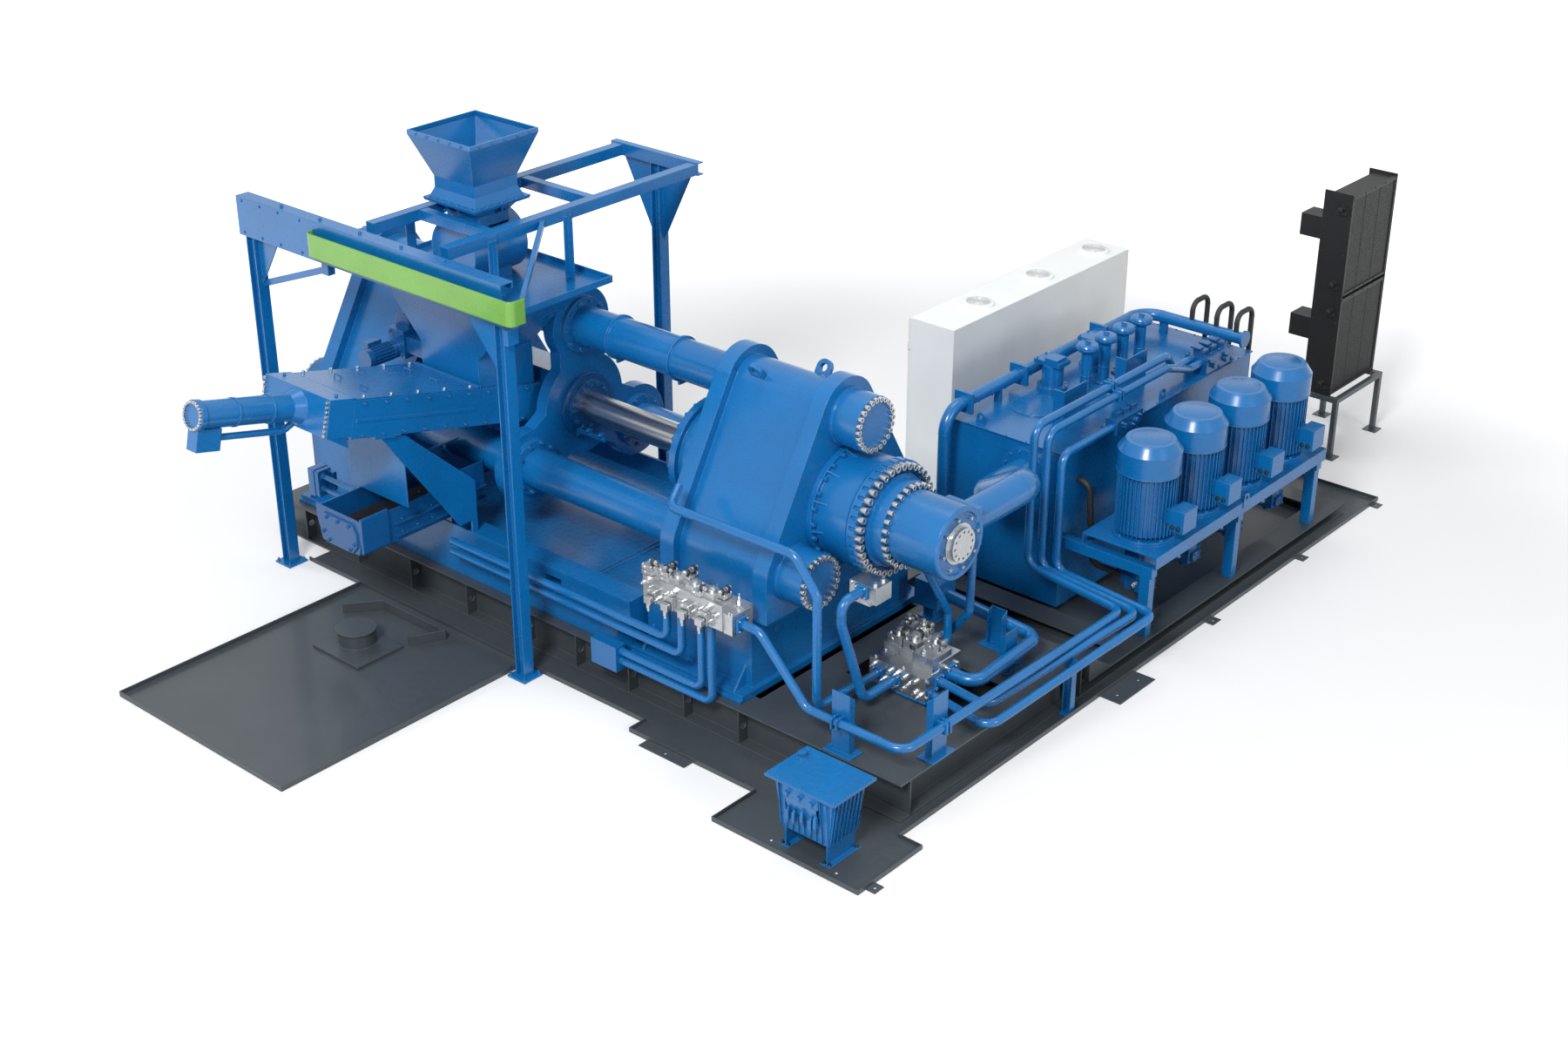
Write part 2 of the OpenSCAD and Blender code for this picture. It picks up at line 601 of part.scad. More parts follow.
chute_y0 = -1150;
chute_y1 = -405;
chute_knee = 2830;
chute_flare = 655;
// height of the sloping box top above the floor at a given y
function box_top_z(y) = press_z - y * tan(slope) + (top_w + run) / cos(slope);
module feed_chute() color(blue) {
  x0 = feed_x - chute_half;
  x1 = feed_x + chute_half;
  top = platform_z - 12;
  for (y = [chute_y0, chute_y1 - sheet]) xz(y, sheet) polygon([[x0, box_top_z(y)], [x1, box_top_z(y)],
    [x1, chute_knee], [x1 + chute_flare, top], [x0 - chute_flare, top], [x0, chute_knee]]);
  for (x = [x0, x1 - sheet]) yz(x, sheet) polygon([[chute_y0 + sheet, box_top_z(chute_y0 + sheet)],
    [chute_y1 - sheet, box_top_z(chute_y1 - sheet)], [chute_y1 - sheet, chute_knee],
    [chute_y0 + sheet, chute_knee]]);
  for (s = [-1, 1]) translate([feed_x, 0, 0]) xz(chute_y0 + sheet, chute_y1 - chute_y0 - 2 * sheet)
    polygon([[s * chute_half, chute_knee], [s * (chute_half - sheet), chute_knee],
      [s * (chute_half + chute_flare - sheet), top], [s * (chute_half + chute_flare), top]]);
}

// Shaft-mounted gear unit and motor on the left wall of the chute
gear_x = feed_x - chute_half;
module gear_motor() color(dark_blue) {
  translate([gear_x, -900, 2640]) {
    block([-560, -230, -120], [-310, 60, 190]);
    block([-310, -190, -60], [0, 20, 120]);
    for (x = [-520, -350], z = [-80, 150]) translate([x, -230, z]) rotate([90, 0, 0]) cap_screw(34, 20);
    translate([-450, 0, 230]) bar_y(-120, 260, 110);
  }
  // finned motor towards the front, with its terminal box
  translate([gear_x - 470, -1130, 2600]) {
    bar_y(-60, 60, 100);
    translate([0, -330, 0]) rotate([-90, 0, 0]) linear_extrude(270) {
      circle(86);
      for (a = [0:20:340]) rotate(a) translate([0, -3]) square([102, 6]);
    }
    bar_y(-400, 70, 100);
    block([-150, -300, 20], [-60, -120, 130]);
  }
}

// ---------------------------------------------------------------- gantry
// H section standing on end, flanges facing +X and -X
module column(x, y, z0, z1) translate([x, y, z0]) linear_extrude(z1 - z0) {
  for (s = [-1, 1]) translate([s * (column_w / 2 - 6) - 6, -column_w / 2]) square([12, column_w]);
  translate([-column_w / 2 + 6, -5]) square([column_w - 12, 10]);
}
column_y = -1948;
beam_y = -2020;
beam_d = 160;
tube_z = 4200;
tube_x = [-3730, -2620];
tube_y0 = -1700;
tube_y1 = 1810;
right_col = beam_right - column_w / 2;
left_col = -5335;

module gusset(x, side, w, h) xz(column_y - 6, 12) polygon([[x, beam_top - beam_h],
  [x + side * w, beam_top - beam_h], [x, beam_top - beam_h - h]]);

module gantry_front() color(blue) {
  // channel beam, open to the rear, with a folded top
  yz(beam_left, beam_right - beam_left) {
    translate([beam_y, beam_top - beam_h]) square([14, beam_h]);
    translate([beam_y, beam_top - beam_h]) square([beam_d, 14]);
    translate([beam_y, beam_top - 14]) square([beam_d, 14]);
    translate([beam_y + beam_d - 14, beam_top - 70]) square([14, 60]);
  }
  for (x = [left_col, right_col]) {
    column(x, column_y, 20, beam_top - beam_h);
    translate([x - 125, column_y - 125, 0]) cube([250, 250, 20]);
    for (i = [-1, 1], j = [-1, 1]) translate([x + i * 100, column_y + j * 100, 20]) cap_screw(30, 18);
  }
  gusset(right_col - column_w / 2, -1, 470, 560);
  gusset(left_col + column_w / 2, 1, 330, 520);
  // screws along the top of the beam
  for (i = [0:5]) translate([beam_right - 250 - i * 620, beam_y + beam_d / 2, beam_top]) cap_screw(36, 22);
  // bracket box on the right column, and the flat brace at the left column
  block([beam_right, column_y - 70, 3640], [beam_right + 60, column_y + 70, 3800]);
  translate([left_col + column_w / 2, column_y + 10, 3270]) rotate([0, -21, 0]) cube([1180, 10, 70]);
  block([-4250, column_y, 3660], [-4150, beam_y + beam_d, beam_top - beam_h]);
}

module square_tube_y(x, z, y0, y1, w, t) translate([x, 0, z]) xz(y0, y1 - y0) difference() {
  square([w, w], center = true);
  square([w - 2 * t, w - 2 * t], center = true);
}
rear_x = (tube_x[0] + tube_x[1]) / 2 - 40;
module gantry_rear() color(blue) {
  for (x = tube_x) square_tube_y(x, tube_z, tube_y0, tube_y1, tube_w, 8);
  // cross tube in front of the funnel, and one behind it
  for (y = [-1060, 330]) translate([tube_x[0] + tube_w / 2, y - 50, tube_z - 55])
    cube([tube_x[1] - tube_x[0] - tube_w, 100, 110]);
  // rear channel beam and its column with two big gussets
  yz(tube_x[0] - 130, tube_x[1] - tube_x[0] + 195) {
    translate([tube_y1, tube_z - 70]) square([12, 140]);
    translate([tube_y1, tube_z + 58]) square([90, 12]);
    translate([tube_y1, tube_z - 70]) square([90, 12]);
  }
  column(rear_x, tube_y1 + 12 + column_w / 2, 20, tube_z - 70);
  translate([rear_x - 125, tube_y1 - 48, 0]) cube([250, 250, 20]);
  for (s = [-1, 1]) xz(tube_y1 + 12 + column_w / 2 - 6, 12)
    polygon([[rear_x + s * column_w / 2, tube_z - 70],
    [rear_x + s * 520, tube_z - 70], [rear_x + s * column_w / 2, tube_z - 950]]);
  // bolted angle posts from the roof tubes to the platform
  for (x = tube_x, y = [-1140, -120]) angle_post(x, y);
  // strut from the right tube down to the front column
  hull() {
    translate([beam_right - 40, column_y + column_w / 2 + run, 3700]) cube([10, 60, 60]);
    translate([tube_x[1] + tube_w / 2, -500, tube_z - 40]) cube([10, 60, 60]);
  }
}
module angle_post(x, y) {
  s = x < hopper_x ? -1 : 1;
  translate([x + s * (tube_w / 2), y, platform_z]) {
    translate([s > 0 ? 0 : -10, -60, 0]) cube([10, 120, tube_z - platform_z + 40]);
    translate([s > 0 ? 0 : -70, -5, 0]) cube([70, 10, tube_z - platform_z - 60]);
    for (z = [40, tube_z - platform_z - 20], j = [-32, 32])
      translate([s * 10, j, z]) rotate([0, s * 90, 0]) cap_screw(22, 12);
  }
}

module front_band() color([0.45, 0.75, 0.20]) {
  x0 = -4250;
  x1 = -1250;
  y0 = beam_y - 100;
  translate([0, 0, 3900]) linear_extrude(250) difference() {
    union() {
      for (x = [x0 + 70, x1 - 70]) translate([x, y0 + 70]) circle(70);
      translate([x0 + 70, y0]) square([x1 - x0 - 140, 100]);
      translate([x0, y0 + 70]) square([x1 - x0, 30]);
      translate([x1 - 70, y0 + 70]) square([70, 120]);
    }
    for (x = [x0 + 70, x1 - 70]) translate([x, y0 + 70]) circle(58);
    translate([x0 + 70, y0 + 12]) square([x1 - x0 - 140, 200]);
    translate([x0 + 12, y0 + 70]) square([x1 - x0 - 24, 200]);
    translate([x0 - 1, beam_y - run]) square([x1 - x0 - 71, 200]);
  }
  // hidden spacers that carry the band on the beam
  for (x = [x0 + 300, x1 - 600]) block([x, y0 + 12, 3960], [x + 80, beam_y, 4090]);
}

deck_x0 = feed_x - chute_half - chute_flare - 10;
deck_x1 = feed_x + chute_half + chute_flare + 30;
module platform() color(blue) difference() {
  union() {
    block([deck_x0, -1220, platform_z - 12], [deck_x1, 130, platform_z]);
    for (y = [-1220, 118]) block([deck_x0, y, platform_z], [deck_x1, y + 12, platform_z + 60]);
    for (x = [deck_x0, deck_x1 - 12]) block([x, -1208, platform_z], [x + 12, 118, platform_z + 60]);
  }
  translate([hopper_x - outlet_w / 2 + sheet, hopper_y - drum_len / 2 + 40 + sheet, platform_z - 20])
    cube([outlet_w - 2 * sheet, outlet_len - 2 * sheet, 40]);
}

// ---------------------------------------------------------------- discharge trough
trough_x0 = feed_x - 410;
trough_x1 = feed_x + 250;
trough_top = 1500;
trough_bottom = 1130;
trough_y0 = -2660;
trough_y1 = -1010;
module discharge_trough() color(dark_blue) {
  // channel with stepped side walls
  xz_profile = [[trough_x0, trough_top], [trough_x0, trough_bottom], [trough_x1, trough_bottom],
    [trough_x1, trough_top], [trough_x1 - 14, trough_top], [trough_x1 - 14, trough_bottom + 120],
    [trough_x1 - 90, trough_bottom + 14], [trough_x0 + 90, trough_bottom + 14],
    [trough_x0 + 14, trough_bottom + 120], [trough_x0 + 14, trough_top]];
  xz(trough_y0, trough_y1 - trough_y0) polygon(xz_profile);
  // bolted rails outside, and the raised inner side boards
  for (z = [trough_bottom + 60, trough_bottom + 200]) {
    block([trough_x1, trough_y0 + 420, z], [trough_x1 + 40, trough_y1, z + 12]);
    for (i = [0:5]) translate([trough_x1, trough_y0 + 520 + i * 200, z + 26]) rotate([0, 90, 0])
      cap_screw(24, 14);
  }
  block([trough_x1 - 14, trough_y0 + 900, trough_top], [trough_x1, trough_y1, trough_top + 110]);
  block([trough_x0, trough_y0 + 560, trough_top], [trough_x0 + 14, trough_y1, trough_top + 110]);
  // inclined hood on the left board
  hood = 300;
  xz(trough_y0 + 700, trough_y1 - trough_y0 - 700) polygon([[trough_x0, trough_top + 110],
    [trough_x0 + 14, trough_top + 110], [trough_x0 + hood, trough_top + 255],
    [trough_x0 + hood, trough_top + 269]]);
  trough_mouth();
  // saddle on the bed channel
  block([trough_x0 + 120, -1390, channel_top], [trough_x1 - 120, -1330, trough_bottom]);
}
module trough_mouth() {
  mid = (trough_x0 + trough_x1) / 2;
  half = (trough_x1 - trough_x0) / 2;
  // frame round the mouth
  xz(trough_y0 - 16, 16) polygon([[trough_x0 - 30, trough_top + 10], [trough_x0 - 30, trough_top - 120],
    [trough_x0 + 40, trough_bottom - 10], [trough_x1 - 40, trough_bottom - 10],
    [trough_x1 + 30, trough_top - 120], [trough_x1 + 30, trough_top + 10]]);
  // octagonal end plate with its screws
  translate([mid, 0, 1290]) {
    xz(trough_y0 - 36, 20) polygon([for (p = [[-0.8, 1], [0.8, 1], [1, 0.35], [1, -0.45], [0.72, -1],
      [-0.72, -1], [-1, -0.45], [-1, 0.35]]) [p.x * half * 0.86, p.y * 165]]);
    for (p = [[-0.6, 0.8], [0, 0.8], [0.6, 0.8], [0.86, -0.3], [0.6, -0.8], [-0.6, -0.8], [-0.86, -0.3]])
      translate([p.x * half * 0.86, trough_y0 - 36, p.y * 165]) rotate([90, 0, 0]) cap_screw(36, 22);
  }
  // side cheek
  block([trough_x1, trough_y0 - 16, trough_bottom + 30], [trough_x1 + 30, trough_y0 + 330, trough_top + 40]);
}

// ---------------------------------------------------------------- bed and base
foot_y = base_half - 120;
channel_in = base_half - 340;
head_y = rod_y + strap_r + 36;
module bed_box(x0, x1) {
  block([x0, -head_y, base_h + 75], [x1, head_y, bed_top]);
  block([x0 - 60, -foot_y, base_h + 30], [x1 + 50, foot_y, base_h + 75]);
  for (x = [x0 + 80, x1 - 80], s = [-1, 1]) translate([x, 0, 0]) yz(-12, 24)
    polygon([[s * head_y, base_h + 75], [s * (foot_y - 20), base_h + 75], [s * head_y, base_h + 300]]);
}
module press_bed() {
  color(blue) {
    bed_box(main_head_x - 160, main_head_end - 160);
    bed_box(die_head_end - 60, die_head_x + 60);
    // round plugs on the end face
    for (y = [-1000, -820]) translate([0, y, 960]) bar_x(main_head_end - 160, 10, 45);
  }
  color(dark_grey) for (x = [main_head_x - 160, die_head_end - 60], len = [main_head_len])
    block([x - 60, -foot_y - 30, base_h], [x + len + 50, foot_y + 30, base_h + 30]);
}
trough_floor = 780;
channel_top = 980;
module bed_trough() color(blue) {
  x0 = die_head_x + 60 + 50;
  x1 = main_head_x - 160 - 60;
  yz(x0, x1 - x0) polygon([for (s = [-1, 1]) for (p = s < 0 ?
    [[0, base_h], [0, trough_floor + 200], [30, trough_floor + 200], [80, trough_floor]] :
    [[80, trough_floor], [30, trough_floor + 200], [0, trough_floor + 200], [0, base_h]])
    [s * (channel_in - p[0]), p[1]]]);
  // pipe channel along the front, with its lid in two steps, and the seam bars of the floor
  difference() {
    block([x0, -foot_y, base_h], [x1, -channel_in, channel_top]);
    block([x0 + 2400, -foot_y - 100, 760], [x0 + 2640, -channel_in - 20, 880]);
  }
  for (x = [x1 - 900, x1 - 960])
    block([x, 90 - channel_in, trough_floor], [x + 20, channel_in - 90, trough_floor + 12]);
}

module h_x(x0, x1, y, h) translate([0, y, 0]) yz(x0, x1 - x0) h_section(h);
module h_y(x, y0, y1, h) translate([x, 0, 0]) xz(y0, y1 - y0) h_section(h);
module h_section(h) {
  translate([-flange_w / 2, tray_t]) square([flange_w, flange_t]);
  translate([-flange_w / 2, h - flange_t]) square([flange_w, flange_t]);
  translate([-web_t / 2, tray_t]) square([web_t, h - tray_t]);
}
module stiffener(x, y, side, h) translate([x, y, 0]) yz(-7, 14) difference() {
  translate([side < 0 ? -flange_w / 2 + 8 : 0, flange_t]) square([flange_w / 2 - 8, h - 2 * flange_t]);
  translate([side * flange_w / 4, h / 2]) circle(38, $fn = 32);
}
base_x0 = die_head_end - 400;
base_x1 = 2950;
beam_mid = base_half - flange_w / 2;
unit_y1 = 6800;
module base_frame() color(dark_grey) {
  for (s = [-1, 1]) {
    h_x(base_x0, base_x1, s * beam_mid, base_h);
    for (x = [-5600, -4700, -3800, -2900, -2000, -1250, -500, 250, 970, 1900])
      stiffener(x, s * beam_mid, s, base_h);
  }
  inner = beam_mid - flange_w / 2;
  for (x = [base_x0 + flange_w / 2, -4150, -2300, -600, 1150, base_x1 - flange_w / 2])
    h_y(x, -inner + run, inner - run, base_h);
  // lower frame round the power unit
  for (x = [tank_x - flange_w / 2 - 20, base_x1 - flange_w / 2]) h_y(x, base_half + run, unit_y1, low_h);
  for (y = [unit_y1 - flange_w / 2, 2350]) h_x(tank_x - 20 + run, base_x1 - flange_w - run, y, low_h);
  // tapered plates where the heights change
  translate([base_x1 - flange_w, 0, 0]) yz(0, flange_w) polygon([[base_half + run, low_h + run],
    [base_half + 380, low_h + run], [base_half + run, base_h]]);
  // deck plates beside the manifold stand
  for (y = [[-inner + run, -300], [500, inner - run]])
    block([1300 + run, y[0], base_h - 12], [2650 - run, y[1], base_h]);
}

// Flat pan with a low rim, from an [x, y] outline walked round
module rim(pts, h, t, open = 0, seam = 0) for (i = [0:len(pts) - 1 - open])
  let (a = pts[i], b = pts[(i + 1) % len(pts)], e = t / 2 + seam)
  if (a.x == b.x) block([a.x - t / 2, min(a.y, b.y) + e, 0], [a.x + t / 2, max(a.y, b.y) - e, h]);
  else block([min(a.x, b.x) - t / 2, a.y - t / 2, 0], [max(a.x, b.x) + t / 2, a.y + t / 2, h]);
module tab(x, y, w, d, holes) difference() {
  block([x - w / 2, y - d / 2, 0], [x + w / 2, y + d / 2, 8]);
  for (i = [0:holes - 1]) translate([x, y + (i - (holes - 1) / 2) * d * 0.6, -1])
    cylinder(h = 12, r = 14, $fn = 32);
}
module drip_tray() color(dark_grey) {
  outline = [[-5200, -1800], [-1300, -1800], [0, -1800], [0, -2010], [1630, -2010], [1630, -2600],
    [3340, -2600], [3340, -1700], [3080, -1700], [3080, 7380], [-60, 7380], [-60, 1740], [-5200, 1740]];
  edge = 4 + run;
  rim(outline, lip, 8, 1, run);
  // floor in flat sheets, seam beside seam
  difference() {
    for (s = [[-5200, 4, -1800 + edge, 1740 - edge], [edge, 1634, -2010 + edge, 1740],
      [1630 + edge, 3080 - edge, -2600 + edge, 1740],
      [3076, 3340 - edge, -2600 + edge, -1700 - edge], [-60 + edge, 3080 - edge, 1740 + run, 7380 - edge]])
      block([s[0], s[2], 0], [s[1], s[3], tray_t]);
    for (x = [2240, 3000]) translate([x, -2480, -1]) cylinder(h = 20, r = 14, $fn = 32);
  }
  tab(540, -2010 - 64 - run, 600, 120, 1);
  tab(3394 + run, -2430, 100, 130, 1);
  for (p = [[7250, 130], [5500, 130], [3600, 160]]) tab(3134 + run, p[0], 100, p[1], 1);
  tab(3204 + run, 1850, 240, 640, 2);
}
tray_x0 = -4300;
tray_x1 = -1710;
tray_y0 = -4870;
tray_y1 = -1808;
module catch_tray() color(dark_grey) {
  outline = [[tray_x0, tray_y0], [tray_x1, tray_y0], [tray_x1, tray_y1], [tray_x0, tray_y1]];
  linear_extrude(tray_t) polygon(outline);
  rim(outline, lip + 10, 8);
}
module tray_fittings() color(dark_grey) {
  // round pedestal under the end of the trough
  block([-3620, -3000, 6], [-2900, -2400, 36]);
  translate([-3340, -2640, 36]) {
    cylinder(h = 150, r = 200);
    translate([0, 0, 150]) cylinder(h = 14, r = 215);
  }
  // open guide with flared side walls, behind the pedestal
  for (w = [[[-3960, -2330], [-3940, -2320], [-3700, -2000], [-3720, -2000]],
            [[-2900, -2330], [-2880, -2330], [-2700, -1990], [-2720, -1990]]])
    translate([0, 0, 6]) linear_extrude(110) polygon(w);
  block([-3720, -2000, 6], [-2700, -1985, 116]);
}

// ---------------------------------------------------------------- power unit
module tank() color(blue) {
  x1 = tank_x + tank_w;
  y1 = tank_y + tank_len;
  block([tank_x, tank_y, tank_z], [x1, y1, tank_top - 12]);
  block([tank_x - 20, tank_y - 20, tank_top - 12], [x1 + 20, y1 + 20, tank_top]);
  for (y = [tank_y + 200, y1 - 320]) block([tank_x + 60, y, 6], [x1 - 60, y + 120, tank_z]);
  for (p = [[tank_x + 360, tank_y + 60], [x1 - 20, tank_y + 1870], [tank_x + 360, y1 - 60]])
    translate([p.x, p.y, tank_top]) rotate(p.x > x1 - 100 ? 90 : 0) lifting_lug(110, 130, 20);
  // round manhole cover, suction flange on the front and the pipe shelf
  translate([tank_x + 545, tank_y + 810, tank_top]) {
    cylinder(h = 14, r = 280);
    for (i = [0:15]) rotate(i * 22.5) translate([258, 0, 14]) cap_screw(20, 10);
  }
  translate([suction_x, tank_y - 20, suction_z]) rotate([90, 0, 0]) {
    translate([0, 0, -20]) cylinder(h = 45, r = 270);
    translate([0, 0, 25]) screw_ring(12, 238, 30, 16, 15);
  }
}
suction_x = 1300;
suction_z = 1530;

// Mushroom filter on its pipe
module filter_post(h) {
  cylinder(h = 20, r = 110);
  cylinder(h = h - 90, r = 62);
  translate([0, 0, h - 110]) rotate_extrude() polygon([[0, 0], [62, 0], [118, 40], [122, 50], [122, 85],
    [110, 105], [90, 110], [0, 110]]);
}
module tank_filters() color(blue) translate([0, 0, tank_top]) {
  for (i = [0:3]) translate([1000, 4150 + i * 355, 0]) filter_post(560);
  // breather and return filter head
  translate([690, 3965, 0]) {
    cylinder(h = 60, r = 170);
    cylinder(h = 300, r = 120);
    translate([-180, -110, 300]) cube([330, 220, 50]);
    translate([-40, -110, 350]) cube([160, 180, 40]);
  }
  translate([690, 4750, 0]) {
    cylinder(h = 60, r = 150);
    cylinder(h = 330, r = 105);
    translate([-150, -100, 330]) cube([280, 200, 45]);
  }
  // upright shield plates beside the pipes
  for (y = [3130, 4300]) translate([1390, y, 0]) {
    cube([14, 420, 430]);
    translate([-120, 0, 0]) cube([120, 14, 430]);
  }
}

back_x = 430;
return_r = 70;
return_z = tank_top + 190;
module return_pipe() color(blue) {
  r = return_r;
  z = return_z;
  y1 = tank_y + tank_len - 160;
  pipe([[back_x, tank_y - 270, 420], [back_x, tank_y - 270, z], [back_x, y1, z],
    [tank_x + tank_w - 20, y1, z]], r, 260);
  // joint flanges
  for (y = [tank_y + 60, 3700, 5250]) translate([back_x, y, z]) rotate([-90, 0, 0])
    translate([-115, -115, -20]) cube([230, 230, 40]);
  // saddles on the tank top, and the foot on the base frame
  for (y = [3300, 5700]) block([back_x - 40, y, tank_top], [back_x + 40, y + 40, z - r + 6]);
  translate([back_x, tank_y - 270, low_h]) cylinder(h = 430 - low_h, r = 110);
  for (x = [700, 1500]) block([x, y1 - 30, tank_top], [x + 60, y1 + 30, z - r + 6]);
  translate([tank_x + tank_w - 20, y1, z]) rotate([0, 90, 0]) cylinder(h = 30, r = r + 30);
}

module valve_stack(w, d, h) {
  cube([w, d, h]);
  for (i = [0:2]) translate([w * 0.2, d * (0.12 + i * 0.3), h]) cube([w * 0.5, d * 0.18, h * 0.35]);
  for (i = [0:1]) translate([w, d * (0.25 + i * 0.45), h * 0.5]) rotate([0, 90, 0])
    cylinder(h = 40, r = d * 0.07);
}
module tank_valves() color(dark_blue) {
  translate([1500, valve_a_y, tank_top]) valve_stack(280, 560, 190);
  translate([1801, 3330, tank_top + 20]) valve_stack(150, 480, 170);
  block([1740, 3350, tank_top], [1801, 3790, tank_top + 80]);
}

cap_port_x = cap_x + 330;
module suction_pipe() color(blue) {
  r = 165;
  // flange block on the back of the cap, then an S-bend into the tank front
  flat = cap_d / 2 - 40;
  difference() {
    block([cap_port_x - 200, flat - 60, press_z - 200], [cap_port_x + 200, flat + 110, press_z + 200]);
    translate([0, 0, press_z]) bar_x(cap_port_x - 300, 600, cap_d / 2 + run);
  }
  pipe([[cap_port_x, flat + 110, press_z], [cap_port_x, 1500, press_z], [suction_x, 1900, suction_z],
    [suction_x, tank_y - 45, suction_z]], r, 340);
}

module motor_bench() color(blue) {
  y0 = tank_y - 20;
  len = 3 * motor_pitch + 2 * (motor_y - y0);
  difference() {
    translate([bench_x, y0, bench_z - 20]) cube([bench_w, len, 20]);
    for (i = [0:3]) translate([motor_x, motor_y + i * motor_pitch, bench_z - 30])
      cylinder(h = 60, r = 175 + run);
  }
  for (x = [bench_x, bench_x + bench_w - 60]) translate([x, y0, bench_z - 140]) difference() {
    cube([60, len, 120]);
    translate([x == bench_x ? 10 : -1, -1, 12]) cube([51, len + 2, 96]);
  }
  // cross beams from the tank wall, and the outer posts
  for (y = [y0, y0 + len / 2 - 50, y0 + len - 100]) {
    block([tank_x + tank_w, y, bench_z - 260], [bench_x + bench_w - 40, y + 100, bench_z - 140]);
    block([bench_x + bench_w - 180, y, low_h], [bench_x + bench_w - 60, y + 100, bench_z - 260]);
  }
  translate([bench_x + bench_w, y0 + len / 2, bench_z - 70]) rotate(90) lifting_lug(110, 160, 20);
}

module motor() {
  fin_r = motor_d / 2 - 15;
  h = 1070;
  cylinder(h = 24, r = motor_d / 2);
  translate([0, 0, 24]) cylinder(h = 60, r1 = 200, r2 = motor_d / 2 - 60);
  translate([0, 0, 60]) linear_extrude(h - 400) {
    circle(motor_d / 2 - 50);
    for (i = [0:fin_count - 1]) rotate(i * 360 / fin_count) translate([0, -4]) square([fin_r, 8]);
  }
  translate([0, 0, h - 345]) rotate_extrude() polygon([[0, 0], [motor_d / 2, 0], [motor_d / 2, 235],
    [motor_d / 2 - 60, 325], [motor_d / 2 - 75, 345], [0, 345]]);
  // terminal box and its neck
  translate([motor_d / 2 - 60, -80, 220]) cube([90, 160, 170]);
  translate([motor_d / 2 + 30, -125, 180]) cube([170, 250, 240]);
}
module motor_at(i) color(blue) translate([motor_x, motor_y + i * motor_pitch, bench_z]) motor();

module pumps() color(dark_blue) for (i = [0:3])
  translate([motor_x, motor_y + i * motor_pitch, 0]) {
    // bell housing through the bench, pump body, and side ports
    translate([0, 0, bench_z - 330]) cylinder(h = 330, r = 175);
    translate([0, 0, bench_z - 500]) cylinder(h = 170, r = 130);
    translate([-115, -115, bench_z - 660]) cube([230, 230, 160]);
    translate([-200, -60, bench_z - 640]) cube([85, 120, 120]);
    translate([0, 0, bench_z - 720]) cylinder(h = 60, r = 50);
  }

// ---------------------------------------------------------------- pipes and manifolds
bundle_z = 720;
wide_r = pipe_r + 22;
// High-pressure pipes from the tank top down to the manifolds
module pressure_pipes() color(blue) {
  z = bundle_z;
  port = manifold_b.x + manifold_w.x;
  pipe([[1570, valve_a_y, 2010], [1570, valve_a_y - 360, 2010],
    [1660, valve_a_y - 680, 2290], [1660, 2230, 2290],
    [1660, 2230, z], [2950, 2030, z], [2950, feed_y, z + 40], [1820, feed_y, z + 40],
    [1240, feed_y, 1360], [1010 + run, feed_y, 1360]], pipe_r, 150);
  pipe([[1690, valve_a_y, 2000], [1690, valve_a_y - 220, 2000],
    [1760, valve_a_y - 820, 2220], [1760, 2330, 2220],
    [1760, 2330, z - 30], [3070, 2150, z - 30], [2880, -150, z - 130],
    [port + 70, -80, z - 130], [port + run, -80, z - 130]],
    pipe_r, 140);
  pipe([[1880, 3330, 1970], [1880, 2430, 1970], [1880, 2430, z - 60], [3190, 2270, z - 60],
    [3030, -310, z - 230], [port + 70, -180, z - 240], [port + run, -180, z - 240]], pipe_r, 140);
}
// Pipes between the crosshead, the cylinder, the block on its stand and the lower manifold
module cylinder_pipes() color(blue) {
  front = manifold_b.y;
  back = manifold_b.y + manifold_w.y;
  pipe([[-108, -head_outer - 60, 2290], [0, feed_y + 130, 2200], [1537, feed_y + 150, 2207],
    [1810, feed_y + 150, 1870], [1810, feed_y + 150, 700], [1700, front - 90, 560],
    [1700, front - run, 560]], pipe_r, 130);
  pipe([[1795, valve_c_y - run, 1650], [1795, -985, 1650], [1795, -985, 1420], [1905, -780, 565],
    [1905, front - run, 565]], pipe_r + 4, 120);
  pipe([[1950, 50, 1690], [1950, 475, 1000], [1950, 475, 640], [1950, back + run, 640]],
    pipe_r - 4, 110);
  block([1895, 0, 1680], [2005, 100, press_z - cap_d / 2 - 1]);
  pipe([[2130, 600, press_z - 166], [2110, 600, 1000], [1840, 650, 650], [1780, back + 100, 650],
    [1780, back + run, 650]], pipe_r - 4, 110);
  // wide pipe from the block behind the crosshead, and that block on its stand
  pipe([[1380, 1190, 700], [2530, 1190, 620], [2570, 100, 600],
    [manifold_b.x + manifold_w.x + run, 100, 600]],
    wide_r, 150);
  block([1100, 1040, 560], [1396, 1340, 850]);
  translate([1248, 1190, base_h]) {
    linear_extrude(14) square(260, center = true);
    linear_extrude(150) square([130, 14], center = true);
    for (x = [-60, 60]) translate([x, 0, 0]) linear_extrude(150) square([14, 200], center = true);
  }
}
head_outer = rod_y + panel_r;
module bed_pipes() color(blue) {
  y = -base_half - pipe_r;
  for (p = [[690, 400], [560, 510], [300, 780], [110, 900]])
    pipe([[p[0], y, 1290 - run], [p[0], y, p[1]], [p[1] > 600 ? -3000 : -520, y, p[1]]], pipe_r * 0.9, 110);
  // connection block on the side of the bed
  block([-870, y - 90, 300], [-520, -base_half - run, 580]);
}
manifold_b = [1580, -280, 560];
manifold_w = [680, 560, 290];
valve_c_y = -680;
manifold_a_y = -base_half - 120;
feed_y = manifold_a_y + 140;
